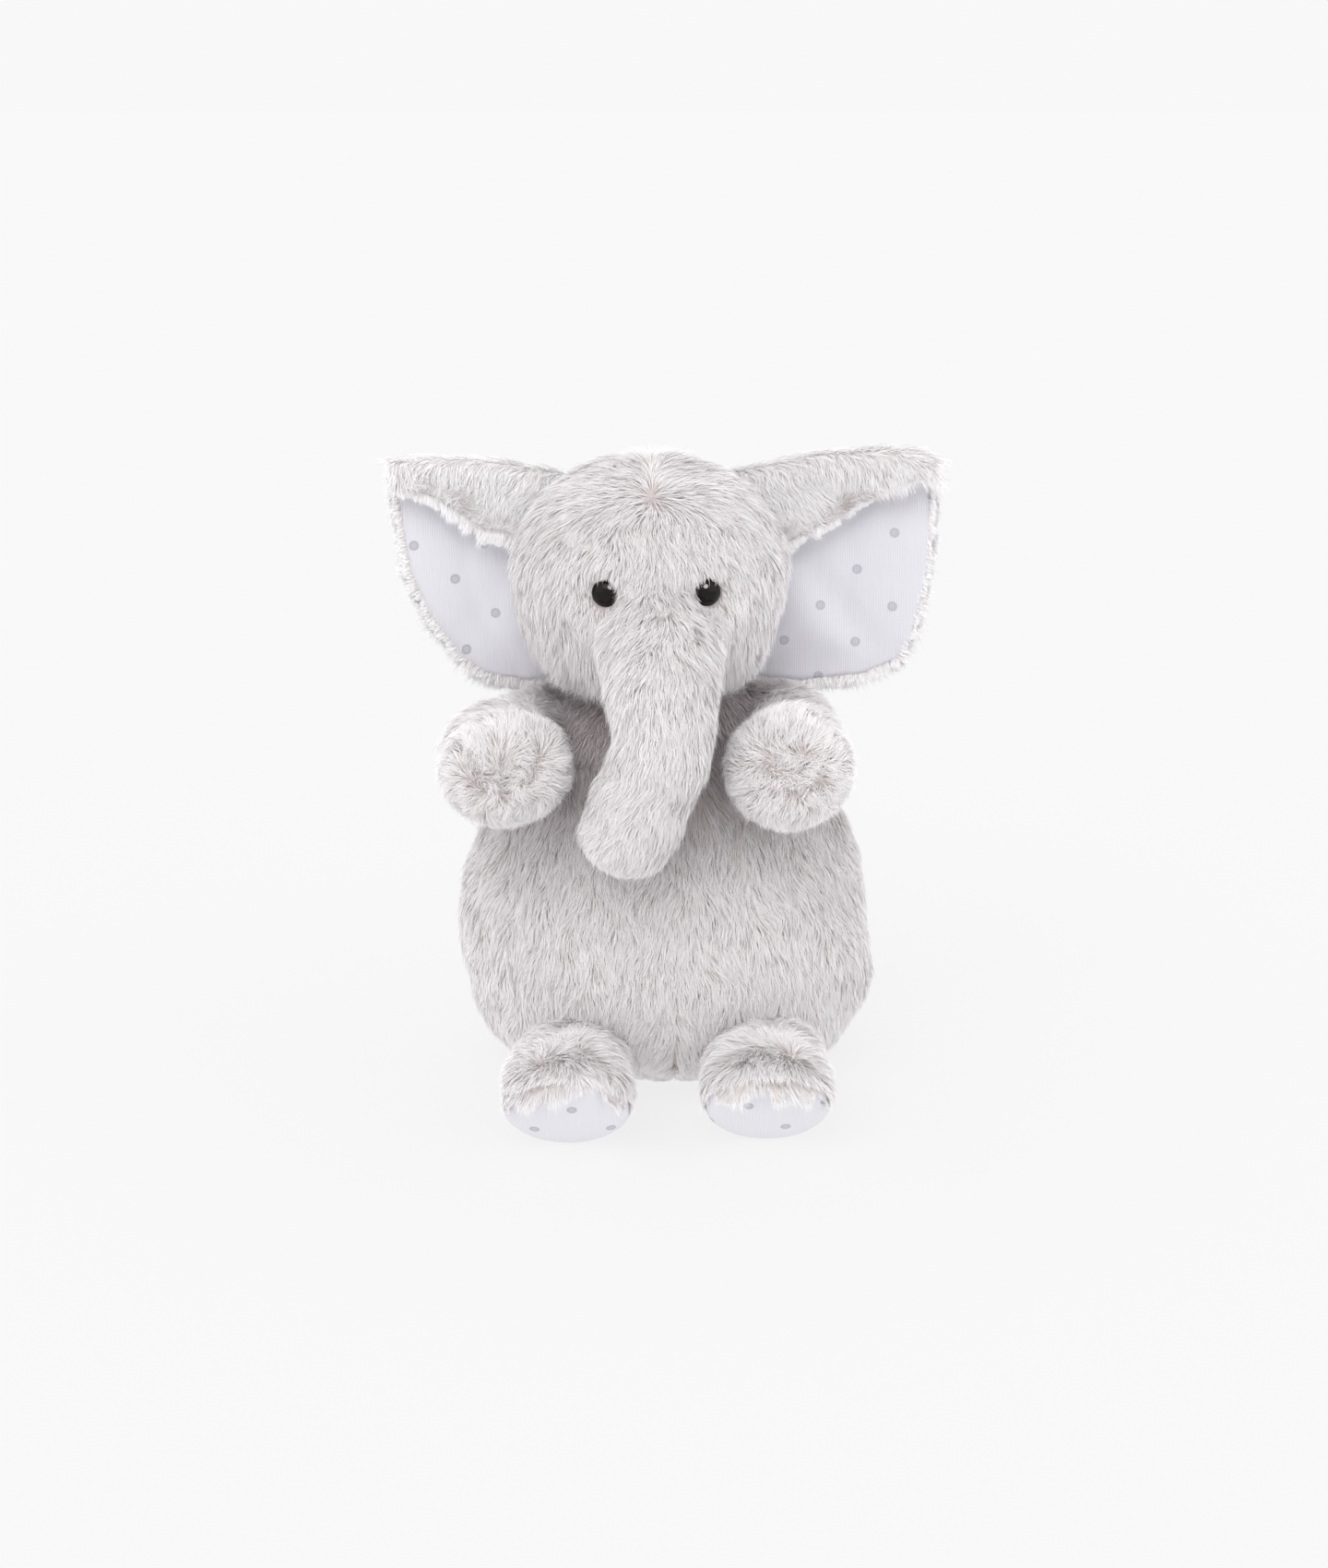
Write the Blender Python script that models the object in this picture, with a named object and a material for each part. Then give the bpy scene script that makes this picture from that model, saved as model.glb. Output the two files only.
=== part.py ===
"""Sitting plush elephant, 0.23 m tall: plush panels sewn round fibre filling, with plastic eyes.

Metres, +Z up, the face towards -Y. The origin is the centre of the flat base panel's underside.
Left and right are the viewer's, so "left" pieces are at -X.
"""
import math

import bmesh
import bpy
from mathutils import Matrix, Vector

# Driving dimensions, in metres
GAP = 0.0003  # clearance between pieces that touch
PLUSH = 0.004  # a plush panel: its backing cloth with the pile pressed half down
JERSEY = 0.0012  # the thin dotted jersey of the ear linings and the soles
LIMB_CLEARANCE = 0.0025  # room between a limb's seam and the torso, so that the limb can swing

# Torso outline from the base up: height, half width, half depth
TORSO_OUTLINE = (
    (0.0033, 0.0530, 0.0350),
    (0.0080, 0.0600, 0.0420),
    (0.0160, 0.0665, 0.0480),
    (0.0280, 0.0720, 0.0535),
    (0.0450, 0.0745, 0.0560),
    (0.0600, 0.0740, 0.0550),
    (0.0750, 0.0710, 0.0520),
    (0.0900, 0.0660, 0.0480),
    (0.1050, 0.0590, 0.0430),
    (0.1180, 0.0520, 0.0390),
    (0.1290, 0.0440, 0.0340),
    (0.1380, 0.0350, 0.0290),
    (0.1450, 0.0260, 0.0230),
)
TORSO_SIDES = 20
BASE_HALF = (0.044, 0.0275)  # flat resting face of the base panel
BASE_THICK = 0.003
BASE_FLARE = (0.007, 0.0055)  # how much wider the base panel's upper face is
BASE_OPENING_HALF = (0.049, 0.031)  # hole in the body panels for the pellet bag, over the base
NECK_OPENING_HALF = (0.022, 0.019)  # hole in the body panels for the neck
FILLING_BASE_HALF = (0.063, 0.045)  # underside of the filling, above the pellet bag
FILLING_SHOULDER_Z = 0.139  # the filling narrows to the round neck above this
POUCH_HALF = (0.036, 0.026)  # bag of plastic pellets that steadies the base
POUCH_HEIGHT = 0.018
POUCH_BULGE = ((0.0, 0.72), (0.2, 0.93), (0.5, 1.0), (0.8, 0.93), (1.0, 0.72))  # height, width shares

NECK_CENTRE = Vector((-0.002, 0.002, 0.134))  # the head nods about this point
NECK_RADIUS = 0.016

HEAD_CENTRE = Vector((-0.005, -0.008, 0.187))
HEAD_HALF = Vector((0.048, 0.045, 0.041))
NECK_CUT_Z = 0.1505  # the head's panels stop here, round the neck opening
HEAD_SIDES = 20
HEAD_STEPS = 10

EYE_RADIUS = 0.0045
EYE_HEIGHT = 0.0036
EYE_SINK = 0.0024  # the eye sits on the backing cloth, below the tips of the pile
EYE_SHANK = (0.0016, 0.013)  # radius and length
WASHER = (0.0058, 0.0012)  # radius and thickness
WASHER_SLACK = 0.0022  # the flat washer stands off the curved inside of the panel by this
EYES = {"left": (-0.0204, 0.1875), "right": (0.0154, 0.1875)}  # x and z

TRUNK_PATH = (
    (-0.002, -0.0400, 0.1710),
    (-0.001, -0.0555, 0.1665),
    (-0.0005, -0.0660, 0.156),
    (-0.0005, -0.0695, 0.142),
    (-0.0036, -0.0710, 0.130),
    (-0.0084, -0.0710, 0.119),
    (-0.0118, -0.0705, 0.110),
)
TRUNK_RADII = (0.0170, 0.0185, 0.0180, 0.0163, 0.0157, 0.0155, 0.0150)
TRUNK_SIDES = 14

ARM_PATHS = {
    "left": (
        (-0.0412, 0.0008, 0.1291),
        (-0.0508, -0.0102, 0.1267),
        (-0.0585, -0.0320, 0.1230),
        (-0.0495, -0.0580, 0.1285),
    ),
    "right": (
        (0.0395, 0.0005, 0.1300),
        (0.0450, -0.0095, 0.1280),
        (0.0465, -0.0330, 0.1255),
        (0.0405, -0.0580, 0.1295),
    ),
}
ARM_RADII = (0.0150, 0.0165, 0.0182, 0.0185)
ARM_SIDES = 14

FOOT_HALF = (0.0215, 0.0190)  # the sole's half width and half height
SOLE_TILT = math.radians(35)  # how far the sole faces down from straight ahead
FEET = {"left": (-0.033, -0.0915), "right": (0.0355, -0.0880)}  # x and y of the sole's centre
FOOT_SIDES = 18
FOOT_ROOT = (0.052, 0.0200)  # how far behind the sole's centre the foot starts, and its height there
FOOT_HEEL = (0.034, 0.0200)
FOOT_INSTEP = (0.020, 0.0200)
SOLE_DOME = ((0.0, 0.0), (0.0009, 0.004), (0.0014, 0.011))  # how far out, and how much smaller

EAR_FOLD_RADIUS = 0.006  # the ear's top is rolled forward round this radius
EAR_BACK_THICK = 0.003
EAR_LAYER_GAP = 0.0011  # loose cloth layers need a little more room where they roll over
EAR_REACH = {"left": 0.089, "right": 0.0985}  # from the head's middle to the ear's upper outer corner
EAR_ROOT_CLEARANCE = 0.0040  # room between the ear's inner edge and the side of the head
EAR_ROOT_MIN = 0.036  # the inner edge comes no nearer to the head's middle than this
EAR_OUTER = {  # share of the reach at each height up the ear; the left ear's lower corner curls back
    "left": ((0.0, 0.740), (0.2, 0.870), (0.45, 0.955), (0.75, 0.985), (1.0, 1.000)),
    "right": ((0.0, 0.895), (0.2, 0.950), (0.45, 0.985), (0.75, 1.000), (1.0, 1.000)),
}
EAR_BOTTOM = ((0.0, 0.1490), (0.45, 0.1465), (0.8, 0.1500), (1.0, 0.1560))
EAR_TOP = {
    "left": ((0.0, 0.2170), (0.4, 0.2235), (0.8, 0.2270), (1.0, 0.2270)),
    "right": ((0.0, 0.2170), (0.4, 0.2240), (0.8, 0.2290), (1.0, 0.2288)),
}
EAR_FLAP = ((0.0, 0.0170), (0.4, 0.0150), (0.7, 0.0080), (1.0, 0.0020))
EAR_BACK_Y = ((0.0, 0.0080), (0.5, 0.0070), (1.0, 0.0010))

FAR = 0.2  # half size of the blocks that cut a piece in two

COLOURS = {
    "plush": ((0.71, 0.68, 0.67), 0.9),
    "jersey": ((0.84, 0.84, 0.88), 0.8),
    "filling": ((0.90, 0.90, 0.88), 0.95),
    "pellets": ((0.55, 0.60, 0.66), 0.7),
    "eye": ((0.015, 0.013, 0.013), 0.08),
    "washer": ((0.80, 0.80, 0.78), 0.5),
}


def interpolate(table, t):
    """Value at t, along straight lines between (position, value) pairs."""
    for (t0, v0), (t1, v1) in zip(table, table[1:]):
        if t <= t1:
            f = (t - t0) / (t1 - t0)
            return v0 + (v1 - v0) * f
    return table[-1][1]


def curve_point(points, t):
    """Point at t, from 0 to 1, on the Catmull-Rom curve through the points."""
    points = [Vector(p) if hasattr(p, "__len__") else Vector((p, 0, 0)) for p in points]
    spans = len(points) - 1
    i = min(int(t * spans), spans - 1)
    f = t * spans - i
    p1 = points[i]
    p2 = points[i + 1]
    p0 = points[i - 1] if i else p1 * 2 - p2
    p3 = points[i + 2] if i + 2 <= spans else p2 * 2 - p1
    return 0.5 * (
        p1 * 2
        + (p2 - p0) * f
        + (p0 * 2 - p1 * 5 + p2 * 4 - p3) * f * f
        + (p1 * 3 - p0 - p2 * 3 + p3) * f * f * f
    )


def material(name):
    """The Principled material of one kind of piece."""
    found = bpy.data.materials.get(name)
    if found:
        return found
    colour, roughness = COLOURS[name]
    made = bpy.data.materials.new(name)
    made.use_nodes = True
    shader = made.node_tree.nodes["Principled BSDF"]
    shader.inputs["Base Color"].default_value = (*colour, 1)
    shader.inputs["Roughness"].default_value = roughness
    shader.inputs["Metallic"].default_value = 0.0
    return made


def finish(bm, name, finish_name=None):
    """Turn a bmesh into a linked object; without a material it is a cutter."""
    bmesh.ops.recalc_face_normals(bm, faces=bm.faces)
    mesh = bpy.data.meshes.new(name)
    bm.to_mesh(mesh)
    bm.free()
    ob = bpy.data.objects.new(name, mesh)
    bpy.context.scene.collection.objects.link(ob)
    if finish_name is None:
        ob.hide_render = True
        ob.display_type = "WIRE"
        return ob
    mesh.materials.append(material(finish_name))
    mesh.shade_smooth()
    mesh.set_sharp_from_angle(angle=math.radians(40))
    return ob


def loft(rings, name, finish_name=None):
    """Closed solid through rings of points, with a flat cap at each end."""
    bm = bmesh.new()
    loops = [[bm.verts.new(p) for p in ring] for ring in rings]
    count = len(loops[0])
    for low, high in zip(loops, loops[1:]):
        for i in range(count):
            j = (i + 1) % count
            bm.faces.new((low[i], low[j], high[j], high[i]))
    bm.faces.new(reversed(loops[0]))
    bm.faces.new(loops[-1])
    return finish(bm, name, finish_name)


def flat_ring(x, y, z, half_x, half_y, count):
    """Level ellipse of points."""
    turns = [2 * math.pi * (i + 0.5) / count for i in range(count)]
    return [Vector((x + half_x * math.cos(a), y + half_y * math.sin(a), z)) for a in turns]


def torso_rings(inset, low=None, high=None):
    """Rings of the torso's outline moved in by inset, between two heights."""
    rings = []
    for z, half_x, half_y in TORSO_OUTLINE:
        if (low is None or z >= low) and (high is None or z <= high):
            rings.append(flat_ring(0, 0, z, half_x - inset, half_y - inset, TORSO_SIDES))
    return rings


def ellipsoid(centre, half, name, finish_name=None):
    """Ellipsoid closed with a small flat cap at each pole."""
    rings = []
    for i in range(HEAD_STEPS + 1):
        lat = math.radians(max(min(180 * i / HEAD_STEPS - 90, 84), -84))
        rings.append(
            flat_ring(
                centre.x,
                centre.y,
                centre.z + half.z * math.sin(lat),
                half.x * math.cos(lat),
                half.y * math.cos(lat),
                HEAD_SIDES,
            )
        )
    return loft(rings, name, finish_name)


def sweep_rings(path, radii, sides, inset=0.0, steps=7):
    """Rings along a curved limb, perpendicular to it, with a rounded far end."""
    stations = [curve_point(path, i / steps) for i in range(steps + 1)]
    widths = [curve_point(radii, i / steps).x - inset for i in range(steps + 1)]
    tangents = []
    for i in range(steps + 1):
        ahead = stations[min(i + 1, steps)]
        behind = stations[max(i - 1, 0)]
        tangents.append((ahead - behind).normalized())
    end = stations[-1]
    for degrees in (28, 54, 77):
        turn = math.radians(degrees)
        stations.append(end + tangents[steps] * widths[steps] * math.sin(turn))
        widths.append(widths[steps] * math.cos(turn))
        tangents.append(tangents[steps])
    side = Vector((1, 0, 0))
    rings = []
    for centre, width, tangent in zip(stations, widths, tangents):
        side = (side - tangent * side.dot(tangent)).normalized()
        up = tangent.cross(side)
        ring = []
        for i in range(sides):
            turn = 2 * math.pi * (i + 0.5) / sides
            ring.append(centre + (side * math.cos(turn) + up * math.sin(turn)) * width)
        rings.append(ring)
    return rings


def block(low, high, name, matrix=None):
    """Box-shaped cutter."""
    bm = bmesh.new()
    size = Vector(high) - Vector(low)
    middle = (Vector(high) + Vector(low)) / 2
    placed = Matrix.Translation(middle) @ Matrix.Diagonal((*size, 1))
    bmesh.ops.create_cube(bm, size=1, matrix=(matrix or Matrix()) @ placed)
    return finish(bm, name)


def rod(start, direction, radius, length, name, finish_name=None, sides=16):
    """Straight round bar from start along direction."""
    turn = Vector((0, 0, 1)).rotation_difference(direction).to_matrix().to_4x4()
    rings = []
    for z in (0, length):
        ring = flat_ring(0, 0, z, radius, radius, sides)
        rings.append([start + turn @ p for p in ring])
    return loft(rings, name, finish_name)


def cut(ob, *cutters):
    """Take each cutter away from the object."""
    for cutter in cutters:
        modifier = ob.modifiers.new("cut_" + cutter.name, "BOOLEAN")
        modifier.operation = "DIFFERENCE"
        modifier.solver = "EXACT"
        modifier.object = cutter
    return ob


def make_torso():
    """Two front panels with a middle seam, a back panel, the base, the filling and the pellet bag."""
    core = loft(torso_rings(PLUSH, -1, 1), "torso_core_cut")
    top = TORSO_OUTLINE[-1][0]
    bottom = TORSO_OUTLINE[0][0]
    under = loft(
        [
            flat_ring(0, 0, bottom - 0.01, *BASE_OPENING_HALF, TORSO_SIDES),
            flat_ring(0, 0, bottom + 0.001, *BASE_OPENING_HALF, TORSO_SIDES),
        ],
        "base_opening_cut",
    )
    neck = loft(
        [flat_ring(0, 0, z, *NECK_OPENING_HALF, TORSO_SIDES) for z in (top - 0.01, top + 0.01)],
        "neck_ring_cut",
    )
    half = GAP / 2
    other_half = {
        "torso_front_left": block((-half, -FAR, -FAR), (FAR, FAR, FAR), "cut_right_half"),
        "torso_front_right": block((-FAR, -FAR, -FAR), (half, FAR, FAR), "cut_left_half"),
    }
    back_half = block((-FAR, -half, -FAR), (FAR, FAR, FAR), "cut_back_half")
    front_half = block((-FAR, -FAR, -FAR), (FAR, half, FAR), "cut_front_half")
    for name, other in other_half.items():
        cut(loft(torso_rings(0), name, "plush"), core, under, neck, back_half, other)
    cut(loft(torso_rings(0), "torso_back", "plush"), core, under, neck, front_half)

    loft(
        [
            flat_ring(0, 0, 0, *BASE_HALF, TORSO_SIDES),
            flat_ring(
                0,
                0,
                BASE_THICK,
                BASE_HALF[0] + BASE_FLARE[0],
                BASE_HALF[1] + BASE_FLARE[1],
                TORSO_SIDES,
            ),
        ],
        "torso_base",
        "plush",
    )
    pouch_rings = []
    for share, spread in POUCH_BULGE:
        z = BASE_THICK + 2 * GAP + POUCH_HEIGHT * share
        half_x = POUCH_HALF[0] * spread
        half_y = POUCH_HALF[1] * spread
        pouch_rings.append(flat_ring(0, 0, z, half_x, half_y, TORSO_SIDES))
    loft(pouch_rings, "pellet_pouch", "pellets")

    filling_low = BASE_THICK + POUCH_HEIGHT + 3 * GAP
    rings = [flat_ring(0, 0, filling_low, *FILLING_BASE_HALF, TORSO_SIDES)]
    rings += torso_rings(PLUSH + GAP * 2, filling_low, FILLING_SHOULDER_Z)
    for degrees in (30, 50, 68, 82):
        turn = math.radians(degrees)
        width = NECK_RADIUS * math.cos(turn)
        height = NECK_CENTRE.z + NECK_RADIUS * math.sin(turn)
        rings.append(flat_ring(NECK_CENTRE.x, NECK_CENTRE.y, height, width, width, TORSO_SIDES))
    loft(rings, "torso_filling", "filling")


def head_normal(point):
    """Outward direction of the head's surface at a point on it."""
    off = point - HEAD_CENTRE
    return Vector(o / (h * h) for o, h in zip(off, HEAD_HALF)).normalized()


def make_head():
    """Two side panels with a middle seam, the filling, and the eyes with their lock washers."""
    thin = Vector((PLUSH, PLUSH, PLUSH))
    slack = Vector((2 * GAP, 2 * GAP, 2 * GAP))
    core = ellipsoid(HEAD_CENTRE, HEAD_HALF - thin, "head_core_cut")
    neck = block((-FAR, -FAR, 0), (FAR, FAR, NECK_CUT_Z), "head_neck_cut")
    half = GAP / 2
    middle = HEAD_CENTRE.x
    right_half = block((middle - half, -FAR, 0), (FAR, FAR, 2 * FAR), "head_right_cut")
    left_half = block((-FAR, -FAR, 0), (middle + half, FAR, 2 * FAR), "head_left_cut")
    filling = ellipsoid(HEAD_CENTRE, HEAD_HALF - thin - slack, "head_filling", "filling")
    filling_neck = block((-FAR, -FAR, 0), (FAR, FAR, NECK_CUT_Z + GAP), "filling_neck_cut")
    cut(filling, filling_neck)
    panels = {
        "left": cut(ellipsoid(HEAD_CENTRE, HEAD_HALF, "head_left", "plush"), core, neck, right_half),
        "right": cut(ellipsoid(HEAD_CENTRE, HEAD_HALF, "head_right", "plush"), core, neck, left_half),
    }
    for side, (x, z) in EYES.items():
        across = (x - HEAD_CENTRE.x) / HEAD_HALF.x
        upward = (z - HEAD_CENTRE.z) / HEAD_HALF.z
        depth = math.sqrt(1 - across * across - upward * upward)
        surface = Vector((x, HEAD_CENTRE.y - HEAD_HALF.y * depth, z))
        out = head_normal(surface)
        seat = surface - out * EYE_SINK
        make_eye(side, seat, out)
        well = rod(seat - out * GAP, out, EYE_RADIUS + 0.0005, 0.01, "eye_well_" + side)
        hole = rod(seat - out * 0.02, out, EYE_SHANK[0] + GAP, 0.03, "shank_hole_" + side)
        pocket_depth = EYE_SHANK[1] + 0.001
        pocket = rod(seat - out * pocket_depth, out, WASHER[0] + 0.0006, 0.03, "pocket_" + side)
        cut(panels[side], well, hole)
        cut(filling, pocket)


def make_eye(side, seat, out):
    """Domed plastic eye moulded with its shank, and the washer that locks it behind the panel."""
    turn = Vector((0, 0, 1)).rotation_difference(out).to_matrix().to_4x4()
    sides = 16
    shank_radius, shank_length = EYE_SHANK
    profile = [(-shank_length, shank_radius), (0.0, shank_radius), (0.0, EYE_RADIUS)]
    for degrees in (22, 44, 64, 80):
        lat = math.radians(degrees)
        profile.append((EYE_HEIGHT * math.sin(lat), EYE_RADIUS * math.cos(lat)))
    rings = []
    for height, radius in profile:
        ring = flat_ring(0, 0, height, radius, radius, sides)
        rings.append([seat + turn @ p for p in ring])
    loft(rings, "eye_" + side, "eye")
    radius, thick = WASHER
    depth = PLUSH - EYE_SINK + WASHER_SLACK + thick
    washer = rod(seat - out * depth, out, radius, thick, "eye_washer_" + side, "washer", sides)
    bore = rod(seat - out * 0.02, out, shank_radius + GAP, 0.03, "washer_bore_" + side)
    cut(washer, bore)


def make_trunk():
    """Front panel and underside panel round a filling, ending against the face."""
    face = ellipsoid(HEAD_CENTRE, HEAD_HALF + Vector((GAP, GAP, GAP)) * 2, "trunk_root_cut")
    core = loft(sweep_rings(TRUNK_PATH, TRUNK_RADII, TRUNK_SIDES, PLUSH), "trunk_core_cut")
    middle = Matrix.Translation((0, -0.0685, 0.135)) @ Matrix.Rotation(math.radians(-7), 4, "X")
    half = GAP / 2
    rear = block((-FAR, -half, -FAR), (FAR, FAR, FAR), "trunk_rear_cut", middle)
    front = block((-FAR, -FAR, -FAR), (FAR, half, FAR), "trunk_front_cut", middle)
    rings = sweep_rings(TRUNK_PATH, TRUNK_RADII, TRUNK_SIDES)
    cut(loft(rings, "trunk_front", "plush"), face, core, rear)
    cut(loft(rings, "trunk_underside", "plush"), face, core, front)
    inner = sweep_rings(TRUNK_PATH, TRUNK_RADII, TRUNK_SIDES, PLUSH + GAP)
    cut(loft(inner, "trunk_filling", "filling"), face)


def make_arm(side):
    """Outer and inner panels round a filling, with a round paw end towards the front."""
    path = ARM_PATHS[side]
    clear = bpy.data.objects["limb_clearance_cut"]
    core_rings = sweep_rings(path, ARM_RADII, ARM_SIDES, PLUSH)
    back = (Vector(path[0]) - Vector(path[1])).normalized() * 0.02
    core_rings.insert(0, [p + back for p in core_rings[0]])
    core = loft(core_rings, "arm_core_cut_" + side)
    start = Vector(path[1])
    end = Vector(path[-1])
    heading = math.atan2(end.x - start.x, start.y - end.y)
    middle = Matrix.Translation((start + end) / 2) @ Matrix.Rotation(heading, 4, "Z")
    half = GAP / 2
    towards_right = block((-half, -FAR, -FAR), (FAR, FAR, FAR), "arm_right_cut_" + side, middle)
    towards_left = block((-FAR, -FAR, -FAR), (half, FAR, FAR), "arm_left_cut_" + side, middle)
    outer_cut = towards_right if side == "left" else towards_left
    inner_cut = towards_left if side == "left" else towards_right
    rings = sweep_rings(path, ARM_RADII, ARM_SIDES)
    cut(loft(rings, f"arm_{side}_outer", "plush"), core, clear, outer_cut)
    cut(loft(rings, f"arm_{side}_inner", "plush"), core, clear, inner_cut)
    inside = sweep_rings(path, ARM_RADII, ARM_SIDES, PLUSH + GAP)
    cut(loft(inside, f"arm_{side}_filling", "filling"), clear)


def foot_ring(centre, tilt, half_x, half_up):
    """Ellipse square to a direction that points ahead and tilt radians down."""
    up = Vector((0, -math.sin(tilt), math.cos(tilt)))
    ring = []
    for i in range(FOOT_SIDES):
        turn = 2 * math.pi * (i + 0.5) / FOOT_SIDES
        across = Vector((half_x * math.cos(turn), 0, 0))
        ring.append(centre + across + up * half_up * math.sin(turn))
    return ring


def foot_rings(side, inset, sole_gap):
    """Rings from inside the torso's front out to the rim of the sole."""
    x, y = FEET[side]
    half_x, half_up = FOOT_HALF
    ahead = Vector((0, -math.cos(SOLE_TILT), -math.sin(SOLE_TILT)))
    sole = Vector((x, y, half_up * math.cos(SOLE_TILT) + GAP))
    stations = (
        (Vector((x * 0.95, y + FOOT_ROOT[0], FOOT_ROOT[1])), 0.0, 0.84, 0.66),
        (Vector((x, y + FOOT_HEEL[0], FOOT_HEEL[1])), 0.15, 0.92, 0.72),
        (Vector((x, y + FOOT_INSTEP[0], FOOT_INSTEP[1])), 0.5, 1.0, 0.90),
        (sole - ahead * 0.008, 0.9, 1.02, 0.98),
        (sole - ahead * sole_gap, 1.0, 1.0, 1.0),
    )
    rings = []
    for centre, share, wide, high in stations:
        tilt = SOLE_TILT * share
        half_w = half_x * wide - inset
        half_h = half_up * high - inset
        rings.append(foot_ring(centre, tilt, half_w, half_h))
    return rings


def make_foot(side):
    """Plush upper, dotted sole and filling of one foot."""
    clear = bpy.data.objects["limb_clearance_cut"]
    ahead = Vector((0, -math.cos(SOLE_TILT), -math.sin(SOLE_TILT)))
    core_rings = foot_rings(side, PLUSH, JERSEY)
    first = [p + Vector((0, 0.03, 0)) for p in core_rings[0]]
    last = [p + ahead * 0.01 for p in core_rings[-1]]
    core = loft([first, *core_rings, last], "foot_core_cut_" + side)
    cut(loft(foot_rings(side, 0, JERSEY), f"foot_{side}_upper", "plush"), core, clear)
    inside = foot_rings(side, PLUSH + GAP, JERSEY + GAP)
    cut(loft(inside, f"foot_{side}_filling", "filling"), clear)
    x, y = FEET[side]
    half_x, half_up = FOOT_HALF
    sole = Vector((x, y, half_up * math.cos(SOLE_TILT) + GAP))
    sole_rings = []
    for out, shrink in ((-JERSEY + GAP, 0.0), *SOLE_DOME):
        centre = sole + ahead * out
        sole_rings.append(foot_ring(centre, SOLE_TILT, half_x - shrink, half_up - shrink))
    loft(sole_rings, f"foot_{side}_sole", "jersey")


def ear_inner(z):
    """Distance from the head's middle to the ear's inner edge, which follows the side of the head."""
    off = min(abs(z - HEAD_CENTRE.z) / HEAD_HALF.z, 1)
    return max(EAR_ROOT_MIN, HEAD_HALF.x * math.sqrt(1 - off * off) + EAR_ROOT_CLEARANCE)


def ear_sheet(side, depth_out, depth_in, name, finish_name):
    """One ear panel: a sheet that stands up from the lower edge and rolls forward at the top.

    The depths are measured inwards from the plush panel's outer surface.
    """
    away = -1 if side == "left" else 1
    reach = EAR_REACH[side]
    across_steps = 7
    rise = [i / 6 for i in range(7)]
    fold = [math.radians(a) for a in (30, 60, 90, 120, 150, 180)]
    drop = (0.5, 1.0)

    def column(s, depth):
        bottom = interpolate(EAR_BOTTOM, s)
        top = interpolate(EAR_TOP[side], s)
        back = interpolate(EAR_BACK_Y, s)
        hang = interpolate(EAR_FLAP, s)
        axis_y = back - EAR_FOLD_RADIUS
        axis_z = top - EAR_FOLD_RADIUS
        radius = EAR_FOLD_RADIUS - depth
        path = []
        for share in rise:
            z = bottom + (axis_z - bottom) * share
            path.append((back - depth, z, z))
        for turn in fold:
            y = axis_y + radius * math.cos(turn)
            z = axis_z + radius * math.sin(turn)
            path.append((y, z, axis_z + EAR_FOLD_RADIUS * math.sin(turn)))
        for share in drop:
            z = axis_z - hang * share
            path.append((axis_y - radius, z, z))
        points = []
        for y, z, level in path:
            h = min(max((level - bottom) / (top - bottom), 0), 1)
            inner = ear_inner(level)
            outer = interpolate(EAR_OUTER[side], h) * reach
            points.append(Vector((HEAD_CENTRE.x + away * (inner + (outer - inner) * s), y, z)))
        return points

    bm = bmesh.new()
    columns = []
    for i in range(across_steps + 1):
        s = i / across_steps
        front = [bm.verts.new(p) for p in column(s, depth_in)]
        rear = [bm.verts.new(p) for p in column(s, depth_out)]
        columns.append(rear + front[::-1])
    count = len(columns[0])
    for one, two in zip(columns, columns[1:]):
        for j in range(count):
            k = (j + 1) % count
            bm.faces.new((one[j], one[k], two[k], two[j]))
    half = count // 2
    for ends in (columns[0], columns[-1]):
        for j in range(half - 1):
            bm.faces.new((ends[j], ends[j + 1], ends[count - 2 - j], ends[count - 1 - j]))
    return finish(bm, name, finish_name)


def make_ear(side):
    """Plush back panel and dotted jersey lining, rolled over together at the top."""
    ear_sheet(side, 0.0, EAR_BACK_THICK, f"ear_{side}_back", "plush")
    lining = EAR_BACK_THICK + EAR_LAYER_GAP
    ear_sheet(side, lining, lining + JERSEY, f"ear_{side}_lining", "jersey")


def main():
    for ob in list(bpy.data.objects):
        bpy.data.objects.remove(ob)
    make_torso()
    clear_rings = torso_rings(-LIMB_CLEARANCE)
    clear_rings.insert(0, [p - Vector((0, 0, 0.01)) for p in clear_rings[0]])
    loft(clear_rings, "limb_clearance_cut")
    make_head()
    make_trunk()
    for side in ("left", "right"):
        make_ear(side)
        make_arm(side)
        make_foot(side)


main()
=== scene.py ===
"""The sitting plush elephant as it looks: padded skins, fur grown strand by strand, jersey ear linings.

Metres, in the CAD's frame: +Z up, the face towards -Y, left and right are the viewer's.
"""

import math

import bpy
import numpy as np
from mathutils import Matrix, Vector
from mathutils.kdtree import KDTree


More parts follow.
